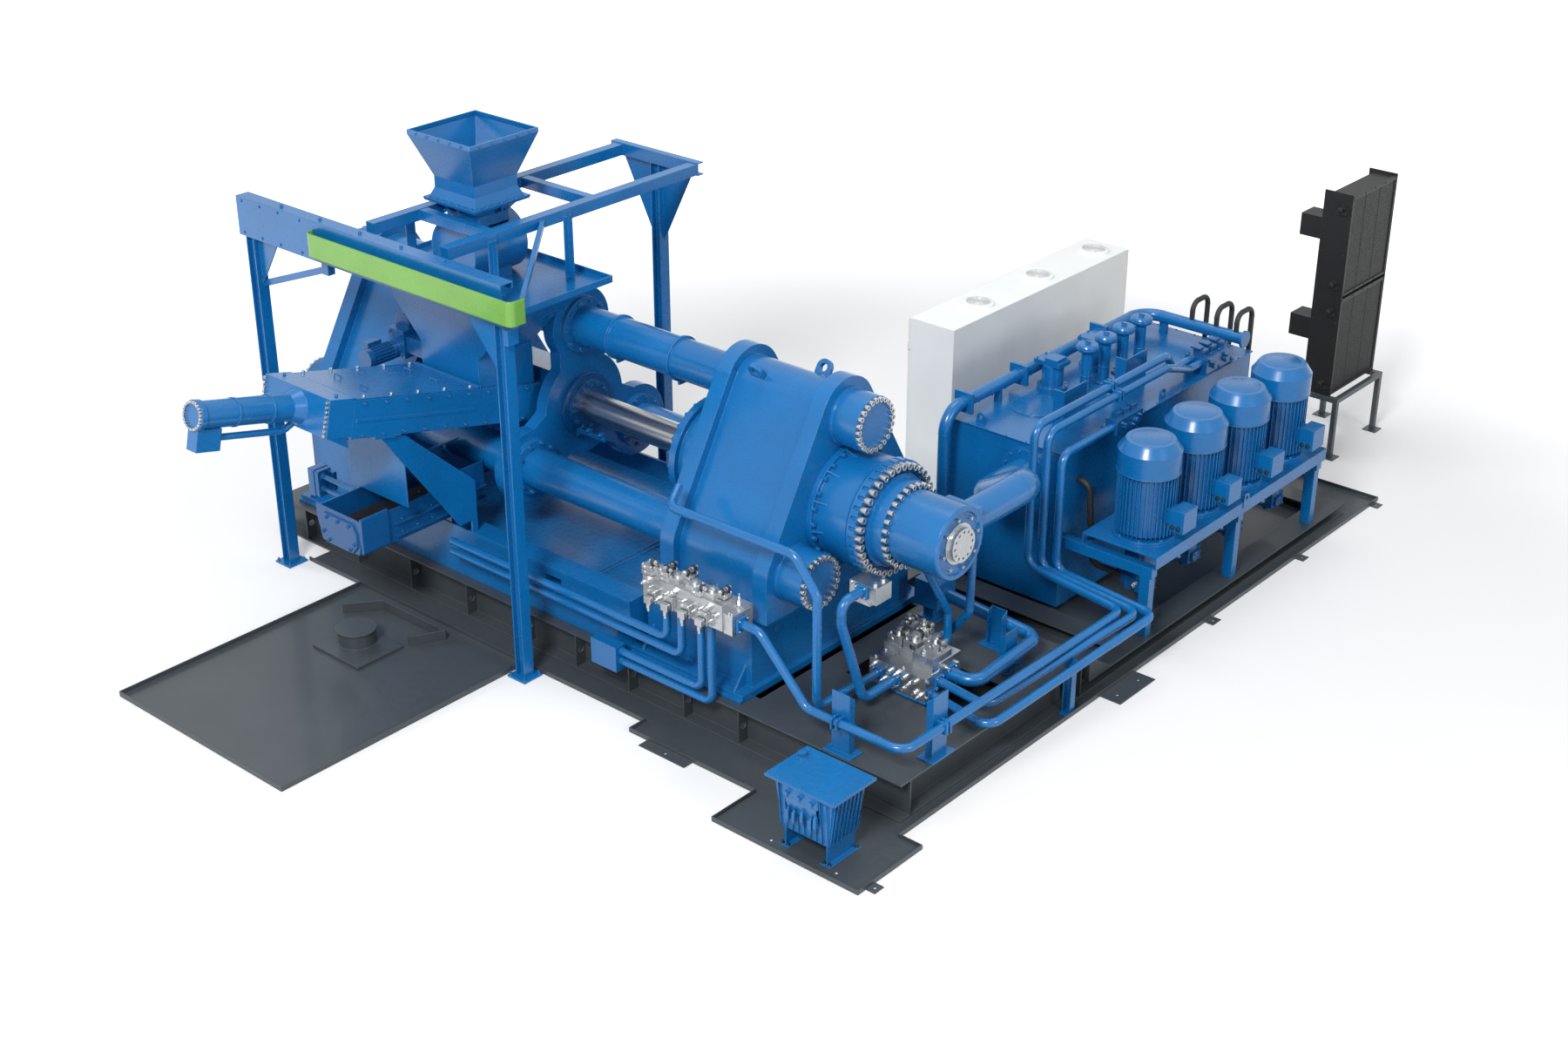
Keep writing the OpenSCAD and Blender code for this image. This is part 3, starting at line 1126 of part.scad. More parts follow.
// A square valve with its round cap and two screws
module valve(w, h) {
  translate([-w / 2, -w / 2, 0]) cube([w, w, h]);
  translate([0, 0, h]) cylinder(h = h * 0.4, r = w * 0.32, $fn = 32);
  translate([0, 0, h * 1.4]) cylinder(h = h * 0.35, r = w * 0.2, $fn = 6);
  for (i = [-1, 1]) translate([i * w * 0.36, i * w * 0.36, h]) cap_screw(w * 0.16, h * 0.12);
}
module manifolds() color(steel) {
  // block beside the crosshead, in two steps, with its valves and end block
  translate([0, manifold_a_y, 0]) {
    block([-120, 0, 1290], [900, 190, 1560]);
    block([-60, 190, 1330], [1000, 320, 1500]);
    block([900, 20, 1270], [1010, 300, 1480]);
    for (x = [40, 260, 480, 700]) translate([x, 95, 1560]) valve(140, 60);
    for (x = [-20, 180, 400, 620, 820]) translate([x, 0, 1430]) rotate([90, 0, 0]) cap_screw(60, 30);
  }
  // lower manifold: ledge with the ports, upper block, valves on top
  translate(manifold_b) {
    block([0, 0, -130], [manifold_w.x, 220, 130]);
    block([0, 220, -130], [manifold_w.x, manifold_w.y, 210]);
    block([430, 120, 130], [manifold_w.x - 10, 220, 290]);
    block([430, 220, 210], [manifold_w.x - 10, 420, 290]);
    for (x = [110, 300]) translate([x, 330, 210]) valve(170, 90);
    for (x = [100, 280]) translate([x, 480, 210]) valve(120, 130);
    translate([560, 320, 290]) valve(150, 90);
    for (x = [250, 430, 560], z = [-60, 60]) translate([x, 0, z]) rotate([90, 0, 0]) cap_screw(56, 36);
    for (y = [20, 500], z = [-80, 100]) translate([manifold_w.x, y, z]) rotate([0, 90, 0]) cap_screw(40, 26);
  }
  // block under the cylinder
  block([1640, valve_c_y, 1545], [1960, valve_c_y + 230, 1722]);
  block([1690, valve_c_y + 30, 1490], [1860, valve_c_y + 200, 1545]);
  for (x = [1665, 1720], z = [1570, 1700]) translate([x, valve_c_y, z]) rotate([90, 0, 0]) cap_screw(30, 16);
  for (x = [1900], y = [60, 180]) translate([x, valve_c_y + y, 1722]) cap_screw(50, 24);
}
// Folded channel post with its foot plate; its back runs along +X, its flanges point to -Y
module channel_post(w, h, margin = 60) {
  translate([-w / 2 - margin, -130, 0]) cube([w + 2 * margin, 190, 16]);
  translate([-w / 2, -12, 16]) cube([w, 12, h - 16]);
  for (x = [-w / 2, w / 2 - 12]) translate([x, 0, 0]) yz(0, 12)
    polygon([[0, 16], [-80, 16], [-80, h - 60], [0, h]]);
  if (margin > 0) for (x = [-w / 2 - 35, w / 2 + 35]) translate([x, -40, 16]) cap_screw(26, 12);
}
module pipe_supports() {
  color(blue) {
    translate([2186, feed_y + pipe_r + 1, base_h]) rotate(180) channel_post(210, 640);
    translate([2950 - pipe_r - 2, -894, base_h]) rotate(90) mirror([0, 1, 0]) channel_post(220, 660);
    translate([2105, 1190 - wide_r - 1, base_h]) channel_post(190, 420);
    translate([2570 - 33 - wide_r, 825, base_h]) rotate(-90) channel_post(190, 420);
    translate([3010, 1110, tray_t]) channel_post(100, 592, 0);
  }
  // dark stand under the lower manifold
  color(dark_grey) block([manifold_b.x - 20, manifold_b.y - 10, base_h],
    [manifold_b.x + manifold_w.x + 10, manifold_b.y + manifold_w.y + 10, manifold_b.z - 130]);
}

// ---------------------------------------------------------------- cabinet and coolers
module cabinet() color([0.85, 0.86, 0.85]) {
  difference() {
    block([cabinet_x, cabinet_y, 0], [cabinet_x + cabinet_w, cabinet_y + cabinet_len, cabinet_h]);
    block([cabinet_x - 1, cabinet_y + 30, 130],
      [cabinet_x + cabinet_w - 30, cabinet_y + cabinet_len - 30, cabinet_h - 40]);
  }
  for (i = [0:2]) translate([cabinet_x + cabinet_w / 2 + 20, cabinet_y + 850 + i * 1195, cabinet_h])
    rotate_extrude() polygon([[0, 0], [195, 0], [190, 24], [150, 34], [0, 34]]);
  // hinge lugs with the pins that carry the doors
  for (i = [0, 1], z = hinge_zs) at_hinge(i) translate([0, 0, z]) {
    translate([0, 0, -40]) cylinder(h = 40 - run, r = hinge_r, $fn = 32);
    translate([0, -6, -40]) cube([20, 16, 40 - run]);
    translate([0, 0, -20]) cylinder(h = 78, r = hinge_pin_r, $fn = 32);
  }
}
hinge_zs = [300, 1850];
hinge_r = 11.5;
hinge_pin_r = 8;
module at_hinge(i) translate([cabinet_x - 2 - door_t / 2, cabinet_y + cabinet_len / 2, 0])
  mirror([0, i, 0]) translate([0, -cabinet_len / 2 - 8, 0]) children();
module cabinet_door(i) color([0.85, 0.86, 0.85]) {
  for (z = hinge_zs) at_hinge(i) translate([0, 0, z]) difference() {
    union() {
      cylinder(h = 60, r = hinge_r, $fn = 32);
      translate([-door_t / 2, 0, 0]) cube([door_t, 16, 60]);
    }
    translate([0, 0, -1]) cylinder(h = 62, r = hinge_pin_r + fit, $fn = 32);
  }
  half = cabinet_len / 2;
  y0 = cabinet_y + 4 + i * half;
  block([cabinet_x - 2 - door_t, y0, 110], [cabinet_x - 2, y0 + half - 8, cabinet_h - 20]);
  handle_y = i == 0 ? y0 + half - 80 : y0 + 50;
  block([cabinet_x - 2 - door_t - 30, handle_y, 1050], [cabinet_x - 2 - door_t, handle_y + 26, 1250]);
}

module coolers() color([0.07, 0.07, 0.08]) for (i = [0:1])
  translate([cooler_x, cooler_y, stand_z + i * (cooler_h + run)]) {
    difference() {
      union() {
        for (y = [0, cooler_len - 14]) translate([0, y, 0]) cube([cooler_w, 14, cooler_h]);
        translate([60, 14, 20]) cube([cooler_w - 100, cooler_len - 28, cooler_h - 60]);
      }
      // fan opening on the back
      translate([59, cooler_len / 2, cooler_h / 2]) rotate([0, 90, 0]) cylinder(h = 140, r = fan_r + 20);
    }
    translate([cooler_w - 40, 30, 40]) cube([24, cooler_len - 60, cooler_h - 100]);
    // motor box behind the fan on its two bars, and the ports on the side plate
    translate([-300, 60, cooler_h / 2]) cube([330, 290, 270]);
    for (z = [-90, 60]) translate([20, 14, cooler_h / 2 + z]) cube([30, cooler_len - 28, 30]);
    // fan motor on its bars, with the shaft that carries the fan
    translate([-160, cooler_len / 2, cooler_h / 2]) rotate([0, 90, 0]) {
      cylinder(h = 220, r = 110);
      cylinder(h = 335, r = 20);
    }
    for (z = [cooler_h - 190, 150]) translate([cooler_w - 130, -46, z]) {
      rotate([-90, 0, 0]) cylinder(h = 46, r = 30);
      translate([-40, 16, -70]) cube([110, 30, 40]);
    }
  }
module cooler_fan(i) color(dark_grey)
  translate([cooler_x + 100, cooler_y + cooler_len / 2, stand_z + i * (cooler_h + run) + cooler_h / 2])
    rotate([0, 90, 0]) {
      difference() {
        cylinder(h = 60, r = 80);
        translate([0, 0, -1]) cylinder(h = 62, r = 20 + fit);
      }
      for (a = [0:60:300]) rotate(a) translate([60, -50, 24]) rotate([22, 0, 0]) cube([fan_r - 70, 100, 8]);
    }
module cooler_stand() color(dark_grey) {
  xs = [cooler_x - 270, cooler_x + cooler_w + 60];
  ys = [cooler_y - 30, cooler_y + cooler_len - 30];
  for (x = xs, y = ys) {
    translate([x, y, 8]) cube([60, 60, stand_z - 68]);
    translate([x - 60, y - 60, 0]) cube([180, 180, 8]);
  }
  for (x = xs) block([x, ys[0], stand_z - 60], [x + 60, ys[1] + 60, stand_z]);
  for (y = ys) block([xs[0] + 60, y, stand_z - 60], [xs[1], y + 60, stand_z]);
}
// Small oil tank with ribbed, tapering walls on two folded feet
module lube_tank() color(blue) {
  w = 800;
  d = 590;
  top = 750;
  low = 200;
  translate([2620, -2255, 0]) {
    block([-w / 2, -d / 2, top - 12], [w / 2, d / 2, top]);
    // tapering body as stepped ribs and a smooth core
    hull() {
      block([-w / 2 + 130, -d / 2 + 100, low], [w / 2 - 130, d / 2 - 100, low + 10]);
      block([-w / 2 + 70, -d / 2 + 60, top - 20], [w / 2 - 70, d / 2 - 60, top - 12]);
    }
    for (s = [-1, 1]) for (i = [-4:4]) {
      translate([i * 68, 0, 0]) yz(-4, 8) polygon([[s * (d / 2 - 170), low], [s * (d / 2 - 80), low + 20],
        [s * (d / 2 - 30), top - 12], [s * (d / 2 - 170), top - 12]]);
      if (abs(i) < 4) translate([0, i * 55, 0]) xz(-4, 8) polygon([[s * (w / 2 - 200), low],
        [s * (w / 2 - 110), low + 20], [s * (w / 2 - 40), top - 12], [s * (w / 2 - 200), top - 12]]);
    }
    // filler cap, lid screws, and the front cover with its valves
    translate([-w / 2 + 90, 120, top]) {
      cylinder(h = 16, r = 52);
      cylinder(h = 60, r = 40, $fn = 12);
    }
    for (x = [-w / 2 + 25, 0, w / 2 - 25], y = [-d / 2 + 25, d / 2 - 25]) translate([x, y, top])
      cap_screw(22, 9);
    block([-200, -d / 2 + 20, top - 150], [200, -d / 2 + 100, top - 40]);
    for (x = [-140, 0, 140]) translate([x, -d / 2 + 20, top - 95]) rotate([90, 0, 0])
      cylinder(h = 40, r = 24);
    // folded feet
    for (s = [-1, 1]) {
      block([s * 240 - 10, -190, 14], [s * 240 + 10, 190, low + 15]);
      block([s * 240 - 60, -220, 6], [s * 240 + 60, 220, 14]);
    }
  }
}
// Black hoses: three loops over the return pipe, and one from the tank wall to the first pump
module hoses() color([0.05, 0.05, 0.05]) {
  back = tank_y + tank_len;
  top = return_z + return_r;
  for (x = [1080, 1400, 1660])
    pipe([[x, back - 160, top], [x, back - 160, 2330], [x, back + 170, 2330], [x, back + 170, 1250],
      [x, back + run, 1250]], 30, 110);
  pipe([[tank_x + tank_w + run, 2900, 1500], [1930, 2900, 1500], [1930, motor_y, bench_z - 580],
    [motor_x - 200 - run, motor_y, bench_z - 580]], 34, 110);
}

base_frame();
drip_tray();
catch_tray();
tray_fittings();
press_bed();
bed_trough();
main_crosshead();
die_crosshead();
front_plate();
tie_rods();
rod_end_bolts();
main_cylinder();
cylinder_bolts();
rear_cap();
cap_flange();
main_ram();
ram_guide();
press_chamber();
compactor_box();
compactor_cover();
compactor_cylinder();
compactor_bolts();
compactor_ram();
compactor_stand();
hopper();
funnel();
feeder_drum();
feeder_shaft();
feed_chute();
gear_motor();
gantry_front();
gantry_rear();
front_band();
platform();
discharge_trough();
tank();
tank_filters();
return_pipe();
tank_valves();
suction_pipe();
motor_bench();
motor_at(0);  // motor_1
motor_at(1);  // motor_2
motor_at(2);  // motor_3
motor_at(3);  // motor_4
pumps();
pressure_pipes();
cylinder_pipes();
bed_pipes();
manifolds();
pipe_supports();
cabinet();
cabinet_door(0);  // cabinet_door_1
cabinet_door(1);  // cabinet_door_2
coolers();
cooler_fan(0);  // cooler_fan_1
cooler_fan(1);  // cooler_fan_2
cooler_stand();
lube_tank();
hoses();
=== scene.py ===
# %% [markdown]
# # A hydraulic briquetting press, dressed for its picture
# The press squeezes metal chips into hard round briquettes. Its shapes come from the packed
# model, which is loaded as a fixed frame. This lesson adds what the eye expects on such a
# machine: sprayed enamel, bare steel, screws, valves, grilles and welds. Each step says what
# the real thing is, how it could be made in Blender, and why one way was chosen.

import json
import math
from itertools import product

import bmesh
import bpy
from mathutils import Matrix, Vector


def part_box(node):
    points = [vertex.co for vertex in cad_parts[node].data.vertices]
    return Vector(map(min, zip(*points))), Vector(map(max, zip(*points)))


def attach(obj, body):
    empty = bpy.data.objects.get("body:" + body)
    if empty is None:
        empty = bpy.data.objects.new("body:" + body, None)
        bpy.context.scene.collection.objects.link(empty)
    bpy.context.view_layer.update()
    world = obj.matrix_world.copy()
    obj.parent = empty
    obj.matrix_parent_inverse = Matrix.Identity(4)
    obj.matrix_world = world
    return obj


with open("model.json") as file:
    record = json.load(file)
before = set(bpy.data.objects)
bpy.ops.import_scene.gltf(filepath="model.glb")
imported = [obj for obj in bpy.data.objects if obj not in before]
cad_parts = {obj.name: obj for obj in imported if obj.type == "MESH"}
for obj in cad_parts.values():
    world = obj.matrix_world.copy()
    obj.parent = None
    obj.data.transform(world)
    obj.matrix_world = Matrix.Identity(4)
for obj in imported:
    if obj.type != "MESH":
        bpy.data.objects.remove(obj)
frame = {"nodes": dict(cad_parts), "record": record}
scene = bpy.context.scene
NODES = frame["nodes"]
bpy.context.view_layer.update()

# %% [markdown]
# The camera stands high at the front corner, where the whole line can be seen: the press axis
# runs to the lower right, and the oil power unit stands behind it. A 50 mm lens from twenty
# metres away keeps the sides nearly parallel. The camera is made first, so that every later
# step can be looked at from the same place.

# %% Camera
camera_data = bpy.data.cameras.new("view")
camera_data.lens = 50.4
camera_data.sensor_width = 36.0
camera_data.clip_end = 400.0
camera = bpy.data.objects.new("view", camera_data)
camera.location = (13.0, -14.7, 11.43)
camera.rotation_euler = (math.radians(63.18), 0.0, math.radians(40.96))
scene.collection.objects.link(camera)
scene.camera = camera
print("camera at", tuple(camera.location))

# %% [markdown]
# Every colour below is written as the hex value a paint chart would give. Blender shades in
# linear light, so one function turns hex into linear numbers. One more function adds a shader
# node, sets it and links it, which keeps each material short enough to read as a recipe.
# `start` opens a material and `close` joins its shader to the output.

# %% Colour and node helpers
def colour(hex_value):
    """sRGB hex text to linear red, green, blue and an alpha of 1."""
    parts = [int(hex_value[i:i + 2], 16) / 255 for i in (1, 3, 5)]
    return [p / 12.92 if p <= 0.04045 else ((p + 0.055) / 1.055) ** 2.4 for p in parts] + [1.0]


def add(material, kind, settings=None, inputs=None):
    """One shader node; an input is a value, a hex colour or another node's output."""
    tree = material.node_tree
    node = tree.nodes.new("ShaderNode" + kind)
    for key, value in (settings or {}).items():
        setattr(node, key, value)
    for key, value in (inputs or {}).items():
        if isinstance(value, bpy.types.NodeSocket):
            tree.links.new(value, node.inputs[key])
        else:
            node.inputs[key].default_value = colour(value) if isinstance(value, str) else value
    return node


def start(name):
    """A new material with an empty tree and its Object coordinates."""
    material = bpy.data.materials.new(name)
    material.use_nodes = True
    material.node_tree.nodes.clear()
    return material, add(material, "TexCoord").outputs["Object"]


def close(material, shader):
    """Joins the shader to the material's output."""
    add(material, "OutputMaterial", inputs={"Surface": shader.outputs[0]})
    return material


print("blue enamel in linear light:", [round(v, 3) for v in colour("#0765a5")])

# %% [markdown]
# ## The room
# The floor is pale and endless, lit by soft lamps, as in a product studio. A floor that only
# reflects light would come out grey far away, where the lamps no longer reach. So it also
# glows: hardly at all near the machine, where its soft shadows lie, and fully white from
# seventeen metres out. The glow only shows to the camera and in glossy or clear surfaces, and
# puts no light on the machine.

# %% Floor
FLOOR_REACH = 150.0
FLOOR_Z = -0.002            # just below the feet, so that the two never share a plane
MIDDLE = (-0.5, 1.5)        # of the machine, seen from above
GLOW_STARTS, GLOW_FULL = 7.5, 17.0
floor_mesh = bpy.data.meshes.new("floor")
floor_form = bmesh.new()
bmesh.ops.create_grid(floor_form, x_segments=1, y_segments=1, size=FLOOR_REACH,
                      matrix=Matrix.Translation((0, 0, FLOOR_Z)))
floor_form.to_mesh(floor_mesh)
floor_form.free()
floor = bpy.data.objects.new("floor", floor_mesh)
scene.collection.objects.link(floor)
floor_paint, where = start("pale_studio_floor")
path = add(floor_paint, "LightPath")
seen = add(floor_paint, "Math", {"operation": "MAXIMUM"},
           {0: path.outputs["Is Camera Ray"], 1: path.outputs["Is Glossy Ray"]})
seen = add(floor_paint, "Math", {"operation": "MAXIMUM"},
           {0: seen.outputs[0], 1: path.outputs["Is Transmission Ray"]})
away = add(floor_paint, "VectorMath", {"operation": "DISTANCE"}, {0: where, 1: (*MIDDLE, 0.0)})
fade = add(floor_paint, "MapRange", {"interpolation_type": "SMOOTHSTEP"}, {
    "Value": away.outputs["Value"], "From Min": GLOW_STARTS, "From Max": GLOW_FULL,
    "To Min": 0.13, "To Max": 1.0})
glow = add(floor_paint, "Math", {"operation": "MULTIPLY"}, {
    0: seen.outputs[0], 1: fade.outputs[0]})
lit = add(floor_paint, "BsdfDiffuse", inputs={"Color": "#dadbdc"})
shine = add(floor_paint, "Emission", inputs={"Strength": glow.outputs[0]})
close(floor_paint, add(floor_paint, "AddShader",
                       inputs={0: lit.outputs[0], 1: shine.outputs[0]}))
floor_mesh.materials.append(floor_paint)
print("floor reaches", FLOOR_REACH, "m each way")

# %% [markdown]
# The light is a bright overcast room. The strongest lamp stands far off at the front and
# lights the long sides the camera sees. A lamp above gives the top faces and pipes their pale
# sheen, two weaker ones open the shadows, and the world fills the rest. In reflections the
# world is brighter than the light it sheds, as white studio walls are, so that zinc and chrome
# look silver. The left lamp is kept out of reflections, or it would lie as a white patch on the
# sloping crosshead. The lamps are far away, so near and far parts are equally bright, and large,
# so their shadows are soft.

# %% Lamps and world
CENTRE = Vector((*MIDDLE, 1.5))


def area_lamp(name, place, power, size=(8.0, 7.0), mirrored=True):
    """A soft wide lamp that looks at the middle of the machine."""
    data = bpy.data.lights.new(name, "AREA")
    data.shape = "RECTANGLE"
    data.size, data.size_y = size
    data.energy = power
    lamp = bpy.data.objects.new(name, data)
    lamp.location = place
    lamp.rotation_euler = (CENTRE - Vector(place)).to_track_quat("-Z", "Y").to_euler()
    lamp.visible_glossy = mirrored
    scene.collection.objects.link(lamp)


area_lamp("over_top", (-3.0, 6.0, 26.0), 1600.0, (16.0, 12.0))
area_lamp("front_key", (9.0, -24.0, 24.0), 9600.0)
area_lamp("left_fill", (-27.0, -9.0, 15.0), 2000.0, mirrored=False)
area_lamp("right_fill", (30.0, -2.0, 14.0), 2200.0)

world = bpy.data.worlds.new("studio")
scene.world = world
world.use_nodes = True
world.node_tree.nodes.clear()
sky = add(world, "Background", inputs={"Color": "#f4f5f6", "Strength": 0.50})
white = add(world, "Background", inputs={"Color": "#ffffff", "Strength": 1.0})
path = add(world, "LightPath")
mirror = add(world, "Background", inputs={"Color": "#f8f9fa", "Strength": 0.95})
mixed = add(world, "MixShader",
            inputs={0: path.outputs["Is Glossy Ray"], 1: sky.outputs[0], 2: mirror.outputs[0]})
mixed = add(world, "MixShader",
            inputs={0: path.outputs["Is Camera Ray"], 1: mixed.outputs[0], 2: white.outputs[0]})
add(world, "OutputWorld", inputs={"Surface": mixed.outputs[0]})
scene.view_settings.view_transform = "Standard"

# %% [markdown]
# ## Materials
# Most of the machine is welded steel sprayed with a gloss two-pack enamel. Up close such paint
# has a fine orange-peel skin, a slow cloudiness where the coats overlap, a film of dust on the
# faces that look up, and a lighter line along the edges, partly worn paint and partly a painted
# highlight. The recipe layers these: noise for the clouds, the world normal for the dust, and
# the Bevel node for the edges, whose rounded normal differs from the flat one only near an edge.
# The same node rounds the light on edges of plates that the frame leaves sharp. Orange peel is
# really about 3 mm across, too fine to show at this distance, so it is drawn 25 mm wide and very
# shallow. The clouds are 0.6 m across, about a spray gun's pass, and the dust lies in patches of
# some 70 mm.

# %% Sprayed enamel
CLOUDS, PATCHES, PEEL = 1.6, 14.0, 40.0     # noise scales, in features per metre


def sprayed_enamel(name, base, dusty, wear_and_highlight, gloss=0.26, edge=0.010, coat=0.20, deep=0.86):
    """Gloss enamel on welded plate, with clouds, dust, and lighter edges that are partly wear and
    partly a painted highlight.
    """
    paint, where = start(name)
    clouds = add(paint, "TexNoise", inputs={
        "Vector": where, "Scale": CLOUDS, "Detail": 4.0, "Roughness": 0.55})
    fine = add(paint, "TexNoise", inputs={
        "Vector": where, "Scale": PATCHES, "Detail": 5.0, "Roughness": 0.65})
    peel = add(paint, "TexNoise", inputs={
        "Vector": where, "Scale": PEEL, "Detail": 2.0, "Roughness": 0.5})
    rounded = add(paint, "Bevel", {"samples": 6}, {"Radius": edge})
    surface = add(paint, "NewGeometry")
    # clouds: the darker tone is a share of the base
    dark = [c * deep for c in colour(base)[:3]] + [1.0]
    tone = add(paint, "MapRange", inputs={
        "Value": clouds.outputs["Fac"], "From Min": 0.35, "From Max": 0.68})
    body = add(paint, "Mix", {"data_type": "RGBA"}, {0: tone.outputs[0], 6: dark, 7: base})
    # dust settles on faces that look up, in patches
    up = add(paint, "SeparateXYZ", inputs={0: surface.outputs["Normal"]})
    flat = add(paint, "MapRange", inputs={
        "Value": up.outputs["Z"], "From Min": 0.45, "From Max": 1.0, "To Max": 0.10})
    patch = add(paint, "Math", {"operation": "MULTIPLY"}, {
        0: flat.outputs[0], 1: fine.outputs["Fac"]})
    dusted = add(paint, "Mix", {"data_type": "RGBA"}, {
        0: patch.outputs[0], 6: body.outputs[2], 7: dusty})
    # lighter edges, partly worn paint and partly a painted highlight: where the rounded normal
    # leaves the flat one
    bend = add(paint, "VectorMath", {"operation": "DOT_PRODUCT"}, {
        0: rounded.outputs[0], 1: surface.outputs["Normal"]})
    rim = add(paint, "MapRange", inputs={
        "Value": bend.outputs["Value"], "From Min": 0.985, "From Max": 0.80, "To Max": 0.24})
    broken = add(paint, "Math", {"operation": "MULTIPLY"}, {
        0: rim.outputs[0], 1: fine.outputs["Fac"]})
    wear_and_highlight_mix = add(paint, "Mix", {"data_type": "RGBA"}, {
        0: broken.outputs[0], 6: dusted.outputs[2], 7: wear_and_highlight})
    rough = add(paint, "MapRange", inputs={
        "Value": fine.outputs["Fac"], "From Min": 0.3, "From Max": 0.75,
        "To Min": gloss - 0.02, "To Max": gloss + 0.06})
    skin = add(paint, "Bump", inputs={
        "Strength": 0.05, "Distance": 0.001, "Height": peel.outputs["Fac"],
        "Normal": rounded.outputs[0]})
    return close(paint, add(paint, "BsdfPrincipled", inputs={
        "Base Color": wear_and_highlight_mix.outputs[2], "Roughness": rough.outputs[0], "IOR": 1.5,
        "Coat Weight": coat, "Coat Roughness": 0.12, "Normal": skin.outputs[0]}))


# the last colour of each enamel is its edge colour: partly wear, partly a painted highlight
BLUE = sprayed_enamel("gloss_blue_enamel_sprayed", "#0765a5", "#3a80b2", "#5b9cc8")
DARK_BLUE = sprayed_enamel("dark_blue_enamel_sprayed", "#09508a", "#39719f", "#4b86b5")
GREY = sprayed_enamel("anthracite_enamel_sprayed", "#3b4247", "#70777b", "#7b8489", gloss=0.42)
BLACK = sprayed_enamel("black_enamel_sprayed", "#141516", "#3c3e40", "#4c4f51", gloss=0.52,
                       coat=0.02)
GREEN = sprayed_enamel("green_panel_enamel_sprayed", "#6da63c", "#98bf76", "#aed08e", edge=0.02)
WHITE = sprayed_enamel("light_grey_powder_coat", "#e8ebea", "#eef0ef", "#f4f6f5", gloss=0.46,
                       edge=0.012, coat=0.1, deep=0.95)
print("enamels:", [m.name for m in (BLUE, DARK_BLUE, GREY, BLACK, GREEN, WHITE)])

# %% [markdown]
# The valves, screws and pipe nuts are steel with a thin bright zinc coat: a soft silver with
# small crystal patches that differ in brightness. The real patches are a few millimetres
# across; they are drawn 11 to 20 mm wide, so that they show. The main ram is ground and
# hard-chromed, so it is almost a mirror, with fine circumferential grinding lines. The lines are
# about 0.2 mm apart on the real rod; here they are 16 mm apart, the finest that still shows.

# %% Bare metals
def plated_steel(name, light, shade, rough, grain):
    """Coated steel: metal with patches of other brightness, `grain` of them to the metre."""
    metal, where = start(name)
    spangle = add(metal, "TexVoronoi", inputs={"Vector": where, "Scale": grain})
    soft = add(metal, "TexNoise", inputs={
        "Vector": where, "Scale": 9.0, "Detail": 4.0, "Roughness": 0.6})
    both = add(metal, "Mix", {"data_type": "FLOAT"}, {
        0: 0.55, 2: spangle.outputs["Distance"], 3: soft.outputs["Fac"]})
    tint = add(metal, "Mix", {"data_type": "RGBA"}, {0: both.outputs[0], 6: light, 7: shade})
    spread = add(metal, "MapRange", inputs={
        "Value": soft.outputs["Fac"], "From Min": 0.3, "From Max": 0.7,
        "To Min": rough - 0.06, "To Max": rough + 0.12})
    rounded = add(metal, "Bevel", {"samples": 4}, {"Radius": 0.006})
    return close(metal, add(metal, "BsdfPrincipled", inputs={
        "Base Color": tint.outputs[2], "Metallic": 1.0, "Roughness": spread.outputs[0],
        "Normal": rounded.outputs[0]}))


def ground_bar(name, light, shade, lines):
    """A ground and chromed bar along X; a wave of scale 20 has its lines 16 mm apart."""
    metal, where = start(name)
    along = add(metal, "TexWave", {"wave_type": "BANDS", "bands_direction": "X"}, {
        "Vector": where, "Scale": lines, "Distortion": 1.2, "Detail": 3.0, "Detail Scale": 2.0})
    tint = add(metal, "Mix", {"data_type": "RGBA"}, {0: along.outputs["Fac"], 6: light, 7: shade})
    fine = add(metal, "Bump", inputs={
        "Strength": 0.05, "Distance": 0.001, "Height": along.outputs["Fac"]})
    return close(metal, add(metal, "BsdfPrincipled", inputs={
        "Base Color": tint.outputs[2], "Metallic": 1.0, "Roughness": 0.28,
        "Normal": fine.outputs[0]}))


ZINC = plated_steel("bright_zinc_plated_steel", "#d8dadb", "#a9acae", 0.30, 60.0)
SCREW = plated_steel("zinc_flake_screw_steel", "#e6e7e8", "#b7babd", 0.26, 90.0)
DARK_STEEL = plated_steel("phosphated_dark_steel", "#5a5d60", "#3c3e41", 0.42, 50.0)
CHROME = ground_bar("hard_chromed_ram_ground", "#d9d6d2", "#b4b1ae", 20.0)
print("metals:", [m.name for m in (ZINC, SCREW, DARK_STEEL, CHROME)])

# %% [markdown]
# The suction hoses are rubber, moulded over braid: nearly black, matt, a little dusty, with a
# faint cross-wound ribbing. Dust lies on it in patches of 90 mm, since smooth black reads as
# plastic. The real braid is 3 mm apart; it is drawn at 22 mm, so that it shows.

# %% Rubber
RUBBER, where = start("black_hose_rubber_moulded")
dust = add(RUBBER, "TexNoise", inputs={
    "Vector": where, "Scale": 11.0, "Detail": 5.0, "Roughness": 0.6})
rubber_tone = add(RUBBER, "Mix", {"data_type": "RGBA"}, {
    0: dust.outputs["Fac"], 6: "#0f1011", 7: "#2b2c2e"})
wrap = add(RUBBER, "TexWave", {"bands_direction": "DIAGONAL"}, {
    "Vector": where, "Scale": 14.0, "Distortion": 0.6})
ribs = add(RUBBER, "Bump", inputs={
    "Strength": 0.25, "Distance": 0.002, "Height": wrap.outputs["Fac"]})
close(RUBBER, add(RUBBER, "BsdfPrincipled", inputs={
    "Base Color": rubber_tone.outputs[2], "Roughness": 0.62, "IOR": 1.52,
    "Normal": ribs.outputs[0]}))
print("rubber ready")

# %% [markdown]
# Each node of the frame names the slot its finish belongs to, so one table from slot to
# material paints the whole machine. Both rams are ground steel, and such steel gets the chrome.
# The table is also read backwards, for the slot of each piece that is added later.

